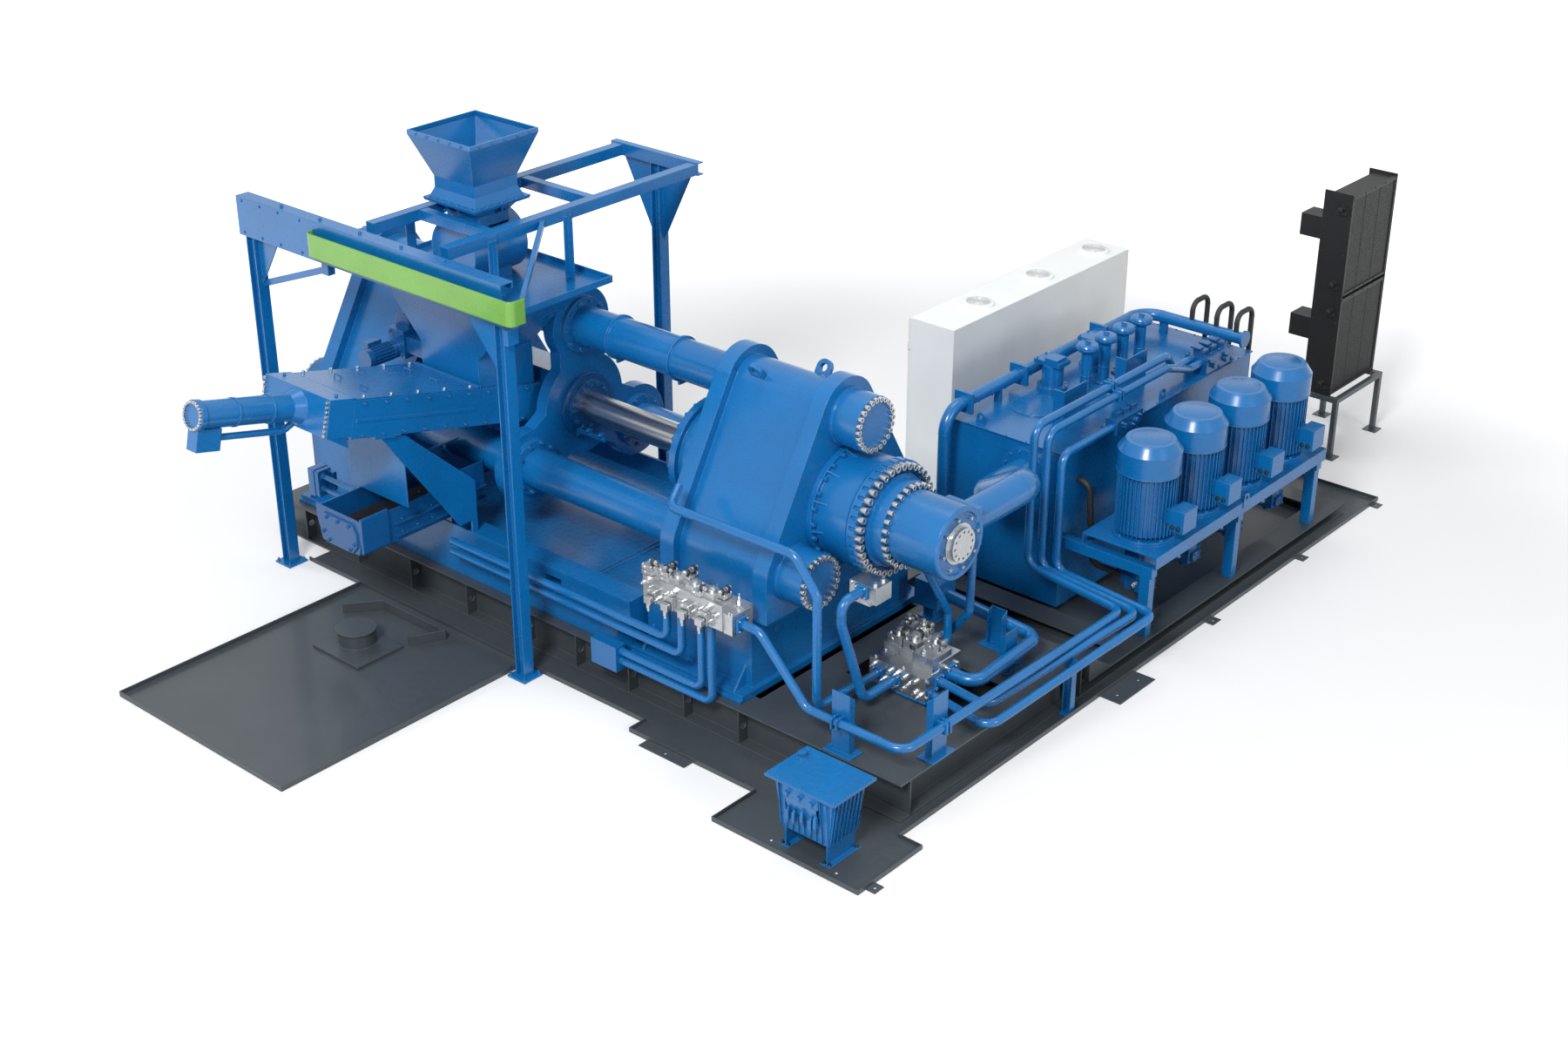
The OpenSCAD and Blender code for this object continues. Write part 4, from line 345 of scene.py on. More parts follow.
# %% Paint the frame
FINISH = {
    "blue_paint": BLUE, "dark_blue_paint": DARK_BLUE, "grey_paint": GREY, "zinc_steel": ZINC,
    "ground_steel": CHROME, "light_grey_paint": WHITE, "black_paint": BLACK,
    "black_rubber": RUBBER, "green_paint": GREEN,
}
SLOT_OF = {material.name: slot for slot, material in FINISH.items()}
for part in frame["record"]["subparts"]:
    node = NODES[part["node"]]
    node.data.materials.clear()
    node.data.materials.append(FINISH[part["material_slot"]])

# %% [markdown]
# ## A small workshop
# The next pieces are all machined or folded from a few raw forms: plates, bars, turned rings
# and screws. Each helper adds one raw form to an open bmesh, so a whole group of parts that
# share a finish becomes one object. `turned` is a lathe: it spins a profile of (radius, height)
# points about an axis, and `stacked` sets bars one behind the other, as nuts and sleeves sit on
# a pipe. `piece` closes the mesh, gives it its finish and lets it ride on a body. The camera
# looks from the front right, so -Y is called the front and +X the right.

# %% Workshop helpers
RIGHT, LEFT, BACK, FRONT, UP, DOWN = (
    (1, 0, 0), (-1, 0, 0), (0, 1, 0), (0, -1, 0), (0, 0, 1), (0, 0, -1))
QUARTER = math.pi / 2


def facing(spot, direction):
    """The matrix that stands +Z on a spot, looking along a direction."""
    turn = Vector(direction).to_track_quat("Z", "Y").to_matrix().to_4x4()
    return Matrix.Translation(spot) @ turn


def soften(form, edges, width, steps=1):
    """A small round on the given edges."""
    bmesh.ops.bevel(form, geom=edges, offset=width, offset_type="OFFSET", segments=steps,
                    profile=0.5, affect="EDGES", material=-1, clamp_overlap=True)


def plate(form, low, high, edge=0.0, matrix=None):
    """A block between two corners, its edges broken."""
    low, high = Vector(low), Vector(high)
    place = (matrix or Matrix()) @ Matrix.Translation((low + high) / 2) @ Matrix.Diagonal(
        (*(high - low), 1.0))
    verts = bmesh.ops.create_cube(form, size=1.0, matrix=place)["verts"]
    if edge:
        soften(form, list({e for v in verts for e in v.link_edges}), edge)


def bar(form, spot, direction, radius, length, sides=24, edge=0.0, top=None):
    """A round bar (a hexagon with six sides) from a spot on; its far rim is broken."""
    frame_of = facing(spot, direction)
    verts = bmesh.ops.create_cone(
        form, cap_ends=True, segments=sides, radius1=radius,
        radius2=radius if top is None else top, depth=length,
        matrix=frame_of @ Matrix.Translation((0, 0, length / 2)))["verts"]
    if edge:
        back = frame_of.inverted()
        rim = {v for v in verts if (back @ v.co).z > length * 0.99}
        soften(form, [e for e in {e for v in rim for e in v.link_edges}
                      if e.verts[0] in rim and e.verts[1] in rim], edge, 2)


def stacked(form, spot, direction, *bars):
    """Bars one behind the other, each a radius, a length, its sides, then edge and top."""
    spot, along = Vector(spot), Vector(direction).normalized()
    for radius, length, *rest in bars:
        bar(form, spot, along, radius, length, *rest)
        spot = spot + along * length


def turned(form, spot, direction, profile, sides=48):
    """A turned part: the profile of (radius, height) points spun once round the axis."""
    verts = [form.verts.new((r, 0.0, h)) for r, h in profile]
    edges = [form.edges.new(pair) for pair in zip(verts, verts[1:])]
    before = set(form.verts) - set(verts)
    bmesh.ops.spin(form, geom=verts + edges, cent=(0, 0, 0), axis=UP,
                   angle=math.tau, steps=sides, use_merge=True)
    fresh = [v for v in form.verts if v not in before]
    bmesh.ops.remove_doubles(form, verts=fresh, dist=1e-5)
    fresh = [v for v in form.verts if v not in before]
    bmesh.ops.transform(form, matrix=facing(spot, direction), verts=fresh)


def band(form, spot, direction, inner, outer, height, slant=0.0, sides=48):
    """A hoop round an axis, its outer face narrower than its inner one by the slant."""
    turned(form, spot, direction, [(inner, 0.0), (outer, slant), (outer, height - slant),
                                   (inner, height), (inner, 0.0)], sides)


def hex_screw(form, spot, direction, across):
    """A hexagon head on its washer: thirty faces, as it is repeated hundreds of times."""
    stacked(form, spot, direction,
            (across * 0.72, across * 0.10, 12), (across * 0.55, across * 0.34, 6),
            (across * 0.47, across * 0.06, 6, 0.0, across * 0.36))


def socket_screw(form, spot, direction, across):
    """A cap screw, its socket sunk in the head."""
    frame_of = facing(spot, direction)
    verts = bmesh.ops.create_cone(
        form, cap_ends=True, segments=12, radius1=across / 2, radius2=across / 2,
        depth=across * 0.6, matrix=frame_of @ Matrix.Translation((0, 0, across * 0.3)))["verts"]
    along = Vector(direction).normalized()
    cap = max({f for v in verts for f in v.link_faces},
              key=lambda f: f.calc_center_median().dot(along) + 0.001 * len(f.verts))
    bmesh.ops.inset_region(form, faces=[cap], thickness=across * 0.20, depth=0.0)
    bmesh.ops.translate(form, verts=list(cap.verts), vec=along * -across * 0.3)


def spots_round(centre, radius, count, start=0.0):
    """Points evenly round a level circle."""
    frame_of = facing(centre, UP)
    return [frame_of @ Vector((radius * math.cos(start + math.tau * i / count),
                               radius * math.sin(start + math.tau * i / count), 0.0))
            for i in range(count)]


def screw_ring(form, centre, radius, count, across, start=0.0):
    """Hexagon screws round an upright axis."""
    for spot in spots_round(centre, radius, count, start):
        hex_screw(form, spot, UP, across)


SHARP = math.radians(35.0)      # edges that turn more than this stay crisp


def piece(form, name, material, body="frame", slot=None):
    """Closes a form: normals out, soft shading up to an angle, a finish, a body to ride on.

    The slot is the one that the frame gives this material, unless another is named; it is worked
    out but not used."""
    slot = slot or SLOT_OF[material.name]
    bmesh.ops.recalc_face_normals(form, faces=form.faces[:])
    mesh = bpy.data.meshes.new(name)
    form.to_mesh(mesh)
    form.free()
    mesh.polygons.foreach_set("use_smooth", [True] * len(mesh.polygons))
    mesh.set_sharp_from_angle(angle=SHARP)
    mesh.materials.append(material)
    made = bpy.data.objects.new(name, mesh)
    scene.collection.objects.link(made)
    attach(made, body)
    print(f"{name}: {len(mesh.polygons)} faces on {body}")


# %% [markdown]
# ## Electric motors
# Four vertical motors stand on the bench. The frame already has the finned barrel and the fan
# cowl. What makes them read as motors are the small things: the gap where the cowl breathes
# over the fins, filled with a dark ring of painted shade, the rolled lip of the cowl, the screwed
# lid and cable glands of the terminal box, and the screws of the foot flange. One loop makes all
# four, because the real motors come from one series too.

# %% Motor trim
MOTOR_RADIUS, COWL_HEIGHT, SMOOTH = 0.330, 0.345, 64
MOTORS = [(low.x + MOTOR_RADIUS, (low.y + high.y) / 2, low.z, high)
          for low, high in (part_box(f"motor_{i}") for i in (1, 2, 3, 4))]
motor_trim, motor_gap_shade, motor_metal, motor_gland = (bmesh.new() for _ in range(4))
for x, y, foot, high in MOTORS:
    cowl = high.z - COWL_HEIGHT
    # lips of the fan cowl: rolled rim below, fold at the shoulder, pressed ring on the lid
    for z, r, h in ((cowl - 0.004, 0.334, 0.012), (cowl + 0.228, 0.3325, 0.010)):
        turned(motor_trim, (x, y, z), UP, [
            (r - 0.010, 0.0), (r - 0.002, 0.0), (r, 0.002), (r, h - 0.002), (r - 0.002, h),
            (r - 0.010, h), (r - 0.010, 0.0)], SMOOTH)
    turned(motor_trim, (x, y, high.z - 0.001), UP, [
        (0.0, 0.004), (0.200, 0.004), (0.212, 0.0), (0.0, 0.0)], SMOOTH)
    # breathing gap under the cowl, filled with a dark ring of painted shade, and the screws of the
    # foot flange
    band(motor_gap_shade, (x, y, cowl - 0.022), UP, 0.276, 0.3125, 0.018, sides=SMOOTH)
    screw_ring(motor_metal, (x, y, foot + 0.024), 0.300, 8, 0.030, start=0.39)
    # terminal box: lid with its seam and four screws, then two glands below
    plate(motor_trim, (high.x - 0.030, y - 0.128, foot + 0.177),
          (high.x - 0.024, y + 0.128, foot + 0.423), 0.001)
    for dy, dz in product((-0.105, 0.105), (0.20, 0.40)):
        socket_screw(motor_metal, (high.x - 0.006, y + dy, foot + dz), RIGHT, 0.012)
    for dx in (0.055, 0.125):
        stacked(motor_gland, (high.x - dx, y - 0.125, foot + 0.235), FRONT,
                (0.024, 0.014, 6), (0.019, 0.020, 20, 0.005))
piece(motor_trim, "motor_cowl_trim", BLUE)
# a dark ring in the gap under each cowl: painted shade
piece(motor_gap_shade, "motor_cowl_gap_painted_shade", DARK_STEEL, slot="black_paint")
piece(motor_metal, "motor_screws", BLUE)
piece(motor_gland, "motor_glands", BLACK)

# %% [markdown]
# ## Pump fittings
# Under the bench hang the pumps. Each has a square flange with four screws where the suction
# hose arrives, a bright steel union in it, and a row of cover screws. Without them a pump reads
# as a plain box.

# %% Pumps
pump_trim, pump_union = bmesh.new(), bmesh.new()
for x, y, bench, _ in MOTORS:
    for half, under, over, edge in ((0.122, 0.530, 0.512, 0.003), (0.135, 0.356, 0.330, 0.004)):
        plate(pump_trim, (x - half, y - half, bench - under), (x + half, y + half, bench - over),
              edge)
    plate(pump_trim, (x + 0.115, y - 0.070, bench - 0.640), (x + 0.150, y + 0.070, bench - 0.530),
          0.004)
    for dy, dz in product((-0.052, 0.052), (-0.622, -0.548)):
        socket_screw(pump_trim, (x + 0.150, y + dy, bench + dz), RIGHT, 0.022)
    screw_ring(pump_trim, (x, y, bench - 0.330), 0.150, 8, 0.022, start=0.39)
    stacked(pump_union, (x, y - 0.115, bench - 0.585), FRONT,
            (0.034, 0.022, 6), (0.026, 0.030, 20, 0.005))
    for dx in (-0.05, 0.05):
        bar(pump_union, (x + dx, y, bench - 0.660), DOWN, 0.014, 0.030, 12, 0.003)
piece(pump_trim, "pump_flanges", DARK_BLUE)
piece(pump_union, "pump_unions", ZINC)

# %% [markdown]
# ## Valve blocks
# The two bright manifolds carry stacks of hydraulic valves. A real stack is a sandwich: a
# ground port plate, one or two intermediate plates, then a spool valve with a round solenoid at
# one end or both, held by four long screws; cartridge valves show only a hexagon and a stem. All
# of it is small, square and bright, so it is built from many little plates, bars and screws
# instead of one clever form. `valve_sandwich` makes a whole stack on a spot.

# %% Valve stack helpers
JOINT, JOINT_INSET = 0.004, 0.002


def valve_sandwich(steel, dark, spot, across, levels, turn=0.0, coils=2):
    """A stack of plates with thin dark joints, a spool valve on top and its solenoids."""
    at = Matrix.Translation(spot) @ Matrix.Rotation(turn, 4, "Z")
    aim = at.to_3x3()
    half, z = across / 2, 0.0
    deep = half * 0.9
    for height in levels:
        plate(dark, (-half + JOINT_INSET, -deep + JOINT_INSET, z),
              (half - JOINT_INSET, deep - JOINT_INSET, z + JOINT), matrix=at)
        z += JOINT
        plate(steel, (-half, -deep, z), (half, deep, z + height), 0.003, at)
        middle = z + height / 2
        bar(steel, at @ Vector((half, 0, middle)), aim @ Vector(RIGHT),
            across * 0.16, across * 0.08, 6)
        bar(steel, at @ Vector((-half * 0.4, -deep, middle)), aim @ Vector(FRONT),
            across * 0.13, across * 0.07, 6)
        z += height
    for x, y in product((-0.8 * half, 0.8 * half), (-0.7 * half, 0.7 * half)):
        socket_screw(steel, at @ Vector((x, y, z)), UP, across * 0.14)
    r = across * 0.27
    for side in (1, -1)[:coils]:
        along = aim @ Vector((side, 0, 0))
        core = at @ Vector((side * half * 0.18, 0, z + r))
        bar(steel, core, along, r * 0.8, across * 0.55, 20)
        bar(dark, core + along * across * 0.14, along, r, across * 0.28, 20, 0.004)
        bar(steel, core + along * across * 0.55, along, r * 0.55, across * 0.12, 6)


def cartridge(steel, spot, direction, across, length):
    """A screw-in valve: hexagon, collar, lock nut and stem."""
    stacked(steel, spot, direction,
            (across * 0.55, length * 0.30, 6), (across * 0.42, length * 0.28, 20, 0.003),
            (across * 0.30, length * 0.14, 6), (across * 0.16, length * 0.28, 12, 0.002))


# %% Manifold beside the crosshead
steel, joints = bmesh.new(), bmesh.new()
top, front, ledge = 1.56, -1.640, -1.700    # of the block, the last of its port blocks
for n, (x, across, levels) in enumerate((
        (-0.055, 0.13, (0.045, 0.05)), (0.10, 0.12, (0.05,)), (0.155, 0.10, (0.04, 0.05)),
        (0.36, 0.13, (0.05, 0.04)), (0.58, 0.12, (0.05,)), (0.80, 0.11, (0.045,)))):
    behind = n % 2
    valve_sandwich(steel, joints, (x, -1.600 + 0.11 * behind, top), across, levels,
                   QUARTER * behind, 1 + behind)
for x, z, across, length in (
        (-0.06, 1.50, 0.0640, 0.09), (0.10, 1.36, 0.0544, 0.08), (0.30, 1.50, 0.0704, 0.10),
        (0.52, 1.37, 0.0544, 0.09), (0.74, 1.50, 0.0640, 0.08), (0.74, 1.35, 0.0480, 0.07)):
    cartridge(steel, (x, front, z), FRONT, across, length)
for x in (0.04, 0.26, 0.48, 0.70):
    plate(steel, (x - 0.055, ledge, 1.315), (x + 0.055, front, 1.455), 0.004)
    plate(joints, (x - 0.050, ledge - 0.006, 1.320), (x + 0.050, ledge, 1.400), 0.001)
    plate(steel, (x - 0.045, ledge - 0.060, 1.325), (x + 0.045, ledge - 0.006, 1.400), 0.004)
    for dx in (-0.035, 0.035):
        socket_screw(steel, (x + dx, ledge, 1.435), FRONT, 0.018)
    stacked(steel, (x, ledge - 0.035, 1.325), DOWN, (0.026, 0.050, 16, 0.004), (0.020, 0.030, 6))
for x in (0.20, 0.62, 0.90):
    cartridge(steel, (x, -1.40, 1.500), UP, 0.045, 0.10)
for x, y in product((0.955, 0.985), (-1.60, -1.36)):
    socket_screw(steel, (x, y, 1.48), UP, 0.022)
piece(steel, "manifold_valves_upper", ZINC)
piece(joints, "manifold_joints_upper", DARK_STEEL, slot="zinc_steel")

# %% Lower manifold on its stand
steel, joints = bmesh.new(), bmesh.new()
bx, by, bz = 1.58, -0.28, 0.56      # left front corner of the block, at the height of its ports
for dx, dy, dz, across, levels, turn, coils in (
        (0.11, 0.33, 0.21, 0.17, (0.06,), 0.0, 1), (0.30, 0.33, 0.21, 0.17, (0.06,), QUARTER, 1),
        (0.11, 0.50, 0.21, 0.12, (0.05, 0.06), QUARTER, 2),
        (0.30, 0.50, 0.21, 0.12, (0.10, 0.05), 0.0, 1),
        (0.56, 0.32, 0.29, 0.15, (0.05,), 0.0, 1)):
    valve_sandwich(steel, joints, (bx + dx, by + dy, bz + dz), across, levels, turn, coils)
for dx, dz in ((0.06, 0.07), (0.18, -0.05), (0.34, 0.07), (0.34, -0.06), (0.50, 0.02),
               (0.62, -0.07)):
    cartridge(steel, (bx + dx, by, bz + dz), FRONT, 0.046, 0.075)
for dy, dz in ((0.30, 0.14), (0.42, 0.05), (0.52, -0.03)):
    cartridge(steel, (bx + 0.68, by + dy, bz + dz), RIGHT, 0.046, 0.07)
for dy, dz in ((0.30, 0.10), (0.45, 0.12)):
    cartridge(steel, (bx, by + dy, bz + dz), LEFT, 0.050, 0.07)
turned(steel, (bx + 0.52, by + 0.17, bz + 0.292), UP, [
    (0.0, 0.0), (0.024, 0.0), (0.024, 0.020), (0.013, 0.026), (0.013, 0.050), (0.0, 0.052)], 20)
for dx, dy in product((0.05, 0.39), (0.035, 0.19)):
    socket_screw(steel, (bx + dx, by + dy, bz + 0.130), UP, 0.026)
piece(steel, "manifold_valves_lower", ZINC)
piece(joints, "manifold_joints_lower", DARK_STEEL, slot="zinc_steel")

# %% [markdown]
# ## Blue valve blocks on the tank
# Where the pumps' pipes meet on the tank, two blocks are painted over together with their
# valves, so every screw and plug there is blue. The cartridge helper is used again, only the
# finish differs.

# %% Tank valves
stack = bmesh.new()
block_top = 2.060
for y in (5.47, 5.64, 5.81):
    plate(stack, (1.53, y - 0.05, 2.1265), (1.65, y + 0.05, 2.15), 0.004)
for x, y in ((1.53, 5.41), (1.75, 5.41), (1.53, 5.90), (1.75, 5.90), (1.72, 5.55), (1.72, 5.72)):
    socket_screw(stack, (x, y, block_top), UP, 0.030)
for y, z in ((5.45, 2.02), (5.60, 1.93), (5.76, 2.02), (5.88, 1.93)):
    cartridge(stack, (1.78, y, z), RIGHT, 0.044, 0.06)
for y, z in ((3.40, 2.02), (3.60, 1.95), (3.72, 2.02)):
    cartridge(stack, (1.951, y, z), RIGHT, 0.036, 0.05)
for x, y in product((1.83, 1.92), (3.37, 3.77)):
    socket_screw(stack, (x, y, block_top), UP, 0.022)
piece(stack, "tank_valve_trim", DARK_BLUE)

# %% [markdown]
# ## Control cabinet
# The tall pale cabinet is cooled by three roof fans. Each sits under a round louvre: a raised
# ring with thin concentric hoops on spokes, over a bright wire mesh that keeps chips out of the
# fan. Real hoops keep their shadow from every side, which a bump in the paint would not.

# %% Roof louvres
HOOPS, SPOKES, MESH_RADIUS, FAN_X = 8, 8, 0.146, -0.9525
louvre, mesh_disc = bmesh.new(), bmesh.new()
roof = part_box("cabinet")[1].z
for y in (4.810, 6.005, 7.200):
    middle = Vector((FAN_X, y, roof))
    bar(mesh_disc, middle, UP, MESH_RADIUS, 0.0015, 48)
    for hoop in range(1, HOOPS + 1):
        r = 0.0175 * hoop + 0.004
        band(louvre, middle, UP, r - 0.003, r + 0.003, 0.006, sides=40)
    for turn in range(SPOKES):
        plate(louvre, (0.012, -0.002, 0.0), (MESH_RADIUS, 0.002, 0.006),
              matrix=Matrix.Translation(middle) @ Matrix.Rotation(math.tau * turn / SPOKES, 4, "Z"))
    for spot in spots_round(middle - Vector((0, 0, 0.005)), 0.170, 4, 0.785):
        bar(louvre, spot - Vector((0, 0, 0.010)), UP, 0.008, 0.010, 10)
piece(louvre, "cabinet_roof_louvres", WHITE)
piece(mesh_disc, "cabinet_fan_mesh", ZINC)

# %% [markdown]
# The doors open to the left, away from the picture, so they show only when the machine is
# walked round. Each door gets its folded edge and three rows of short louvres low down, and all
# of that rides on the door.

# %% Door trim
for i in (1, 2):
    low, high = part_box(f"cabinet_door_{i}")
    face, middle = low.x + 0.030, (low.y + high.y) / 2
    y0, y1, z0, z1 = low.y + 0.03, high.y - 0.03, low.z + 0.05, high.z - 0.05
    trim = bmesh.new()
    for near, far, under, over in ((y0, y1, z1, z1 + 0.015), (y0, y1, z0 - 0.015, z0),
                                   (y0, y0 + 0.015, z0, z1), (y1 - 0.015, y1, z0, z1)):
        plate(trim, (face - 0.004, near, under), (face, far, over), 0.0015)
    for z, y in product((0.40, 0.52, 0.64), (middle - 0.30, middle + 0.10)):
        plate(trim, (face - 0.006, y, z), (face, y + 0.20, z + 0.03), 0.004)
    piece(trim, f"door_trim_{i}", WHITE, f"cabinet_door_{i}")

# %% [markdown]
# With the doors open, the control gear shows: a zinc-plated mounting plate with slotted ducts
# for the wires, and between them rows of contactors, fuses and drives on their rails. Each row
# is filled by one list of widths, as a panel builder lays it out, so no two rows look alike.

# %% Control gear
WIDTHS = (0.045, 0.045, 0.090, 0.018, 0.018, 0.018, 0.140, 0.072, 0.045, 0.210, 0.054, 0.110)
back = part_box("cabinet")[1].x - 0.034
wall, duct_face, rail_face = back - 0.006, back - 0.066, back - 0.013
gear_plate, ducts, gear = bmesh.new(), bmesh.new(), bmesh.new()
plate(gear_plate, (wall, 4.080, 0.240), (back - 0.002, 7.420, 2.080), 0.001)
for row, z in enumerate((0.380, 0.790, 1.200, 1.610)):
    plate(ducts, (duct_face, 4.120, z - 0.100), (wall, 7.380, z - 0.040), 0.002)
    for step in range(54):
        y = 4.150 + step * 0.060
        plate(ducts, (duct_face - 0.0015, y, z - 0.094), (duct_face, y + 0.006, z - 0.046))
    plate(gear_plate, (rail_face, 4.140, z + 0.095), (wall, 7.360, z + 0.130), 0.001)
    y, turn = 4.190 + 0.070 * row, 3 * row
    while y < 7.150:
        wide = WIDTHS[turn % len(WIDTHS)]
        tall, deep = 0.085 + 0.55 * wide, 0.060 + 0.40 * wide
        plate(gear, (rail_face - deep, y, z + 0.112 - tall / 2),
              (rail_face, y + wide, z + 0.112 + tall / 2), 0.002)
        plate(gear, (rail_face - 0.006 - deep, y + 0.20 * wide, z + 0.095),
              (rail_face - deep, y + 0.80 * wide, z + 0.130), 0.001)
        y += wide + (0.006 if turn % 4 else 0.050)
        turn += 1
for y0, y1, z0, z1 in ((4.060, 4.118, 0.240, 2.080), (7.382, 7.440, 0.240, 2.080),
                       (4.120, 7.380, 1.920, 1.980)):
    plate(ducts, (duct_face, y0, z0), (wall, y1, z1), 0.002)
piece(gear_plate, "gear_mounting_plate", ZINC)
piece(ducts, "wire_ducts", WHITE)
piece(gear, "control_gear", BLACK)

# %% [markdown]
# ## Oil coolers
# Two black coolers stand one on the other. Their face is a core of flat tubes with fine fins
# between, held in a folded frame. Real fins lie 2 mm apart; here the tubes are drawn at their
# real 24 mm pitch and the fins between them are left to the shade, which reads the same.

# %% Cooler cores and frames
TUBES, TUBE_PITCH = 47, 0.024
core_back, core_face, frame_face, side = 1.9535, 1.9575, 1.968, 8.100
core, frame_trim, union_trim = bmesh.new(), bmesh.new(), bmesh.new()
for foot in (0.780, 0.780 + 1.2703):
    for row in range(TUBES):
        z = foot + 0.062 + row * TUBE_PITCH
        plate(core, (core_back, 8.135, z), (core_face, 9.165, z + 0.009))
    for y in (8.45, 8.80):
        plate(core, (core_face, y, foot + 0.045), (core_face + 0.002, y + 0.006, foot + 1.205))
    for y0, y1, under, over in ((8.115, 9.185, 0.012, 0.044), (8.115, 9.185, 1.206, 1.246),
                                (8.115, 8.140, 0.044, 1.206), (9.160, 9.185, 0.044, 1.206)):
        plate(frame_trim, (1.930, y0, foot + under), (frame_face, y1, foot + over), 0.002)
    for y, dz in product((8.128, 8.40, 8.65, 8.90, 9.172), (0.028, 1.226)):
        hex_screw(union_trim, (frame_face, y, foot + dz), RIGHT, 0.014)
    for dz in (1.080, 0.150):
        bar(union_trim, (1.840, 8.058, foot + dz), FRONT, 0.040, 0.016, 6)
        bar(union_trim, (1.840, 8.040, foot + dz), FRONT, 0.026, 0.010, 20, 0.002)
    # rivets of the side plates
    for step, x in product(range(6), (1.640, 1.930)):
        bar(frame_trim, (x, side, foot + 0.10 + step * 0.21), FRONT, 0.010, 0.006, 10, 0.002)
piece(core, "cooler_core_tubes", BLACK)
piece(frame_trim, "cooler_frames", BLACK)
piece(union_trim, "cooler_unions", BLACK)

# %% [markdown]
# ## Oil tank
# The tank lid is screwed down all round, the mushroom filters have a clamp band and a wing nut
# each, and the two round covers have their ring of screws. A row of small screws along an edge
# is what tells the eye how large a plain plate is.

# %% Tank lid, filters and level glass
LID_Z, MARGIN = 1.870, 0.014
left, right, near, far = 0.280, 1.800, 2.620, 6.370
lid, clamps, glass_trim = bmesh.new(), bmesh.new(), bmesh.new()
for step in range(16):
    y = near + 0.05 + step * (far - near - 0.10) / 15
    for x in (left + MARGIN, right - MARGIN):
        hex_screw(lid, (x, y, LID_Z), UP, 0.016)
for step in range(1, 6):
    x = left + MARGIN + step * (right - left - 2 * MARGIN) / 6
    for y in (near + MARGIN, far - MARGIN):
        hex_screw(lid, (x, y, LID_Z), UP, 0.016)
for i in range(4):
    x, y = 1.000, 4.150 + i * 0.355
    band(clamps, (x, y, LID_Z + 0.500), UP, 0.121, 0.1245, 0.024, 0.004)
    bar(clamps, (x, y, LID_Z + 0.560), UP, 0.024, 0.010, 20)
    plate(clamps, (x - 0.040, y - 0.005, LID_Z + 0.568), (x + 0.040, y + 0.005, LID_Z + 0.590),
          0.003)
    screw_ring(clamps, (x, y, LID_Z + 0.020), 0.088, 6, 0.016)
    # seam band round the neck of the filter
    band(clamps, (x, y, LID_Z + 0.18), UP, 0.062, 0.067, 0.020, 0.003, 32)
# round covers of the return and breather domes, and the cap screws above them
dome_x, dome_y = 0.690, (3.965, 4.750)
for y, r in zip(dome_y, (0.170, 0.150)):
    screw_ring(clamps, (dome_x, y, LID_Z + 0.060), r - 0.022, 12, 0.020, start=0.2)
for dy, dx in product((-0.085, 0.085), (-0.155, 0.125)):
    socket_screw(clamps, (dome_x + dx, dome_y[0] + dy, LID_Z + 0.350), UP, 0.024)
    socket_screw(clamps, (dome_x + dx * 0.85, dome_y[1] + dy * 0.9, LID_Z + 0.375), UP, 0.022)
# level glass on the front wall: a bright frame, a dark glass and two union nuts
plate(lid, (1.560, 2.632, 0.80), (1.610, 2.640, 1.20), 0.003)
for z in (0.83, 1.17):
    bar(lid, (1.585, 2.632, z), FRONT, 0.014, 0.010, 6)
plate(glass_trim, (1.573, 2.629, 0.855), (1.597, 2.633, 1.145), 0.001)
piece(lid, "tank_lid_screws", BLUE)
piece(clamps, "filter_clamps", BLUE)
piece(glass_trim, "tank_level_glass", DARK_STEEL, slot="black_paint")

# %% [markdown]
# ## Pipe joints
# Thick hydraulic pipes end in square flange pads, each held by four cap screws round the pipe.
# The pads are painted with the pipe, and their screws are left bright. One helper bores nothing:
# it only sets a pad and four screws where a pipe ends.

# %% Flange pads
pads, pad_screws = bmesh.new(), bmesh.new()


def flange_pad(spot, direction, across, thick=0.028):
    """A square pad round a pipe end, with a cap screw in every corner."""
    at = facing(spot, direction)
    half = across / 2
    plate(pads, (-half, -half, 0.0), (half, half, thick), 0.004, at)
    for x, y in product((-0.72 * half, 0.72 * half), repeat=2):
        socket_screw(pad_screws, at @ Vector((x, y, thick)), direction, across * 0.13)


for x in (0.69, 0.56, 0.30, 0.11):
    flange_pad((x, -1.565, 1.289), DOWN, 0.118, 0.024)
for x, y, z, direction, across in (
        (1.011, -1.500, 1.360, RIGHT, 0.150), (2.261, -0.080, 0.590, RIGHT, 0.128),
        (2.261, -0.180, 0.480, RIGHT, 0.128), (2.261, 0.100, 0.600, RIGHT, 0.175),
        (1.700, -0.281, 0.560, FRONT, 0.130), (1.905, -0.281, 0.565, FRONT, 0.130),
        (1.950, 0.281, 0.640, BACK, 0.120), (1.780, 0.281, 0.640, BACK, 0.120),
        (1.795, -0.681, 1.650, FRONT, 0.140)):
    flange_pad((x, y, z), direction, across)
# pipe clamps on the supports: a split block with two screws over each pipe
CLAMP = 0.062
for x, y, z, turn in ((2.186, -1.500, 0.760, 0.0), (2.950, -0.894, 0.745, QUARTER),
                      (1.660, 3.60, 2.290, QUARTER), (1.760, 3.60, 2.220, QUARTER)):
    at = Matrix.Translation((x, y, z)) @ Matrix.Rotation(turn, 4, "Z")
    for dx in (-0.030, 0.030):
        plate(pads, (dx - 0.014, -CLAMP, -CLAMP), (dx + 0.014, CLAMP, CLAMP), 0.006, at)
        hex_screw(pads, at @ Vector((dx, 0.0, CLAMP)), UP, 0.018)
piece(pads, "pipe_flange_pads", BLUE)
piece(pad_screws, "pipe_flange_screws", SCREW, slot="zinc_steel")

# %% [markdown]
# ## Pre-compactor
# The box slopes by fourteen degrees, so its screws are placed in a matrix that leans with it.
# The long side carries two rows of screws and a stiffening strap, the cover has its lifting
# handles, and the tube of the cylinder has its clamp bands.

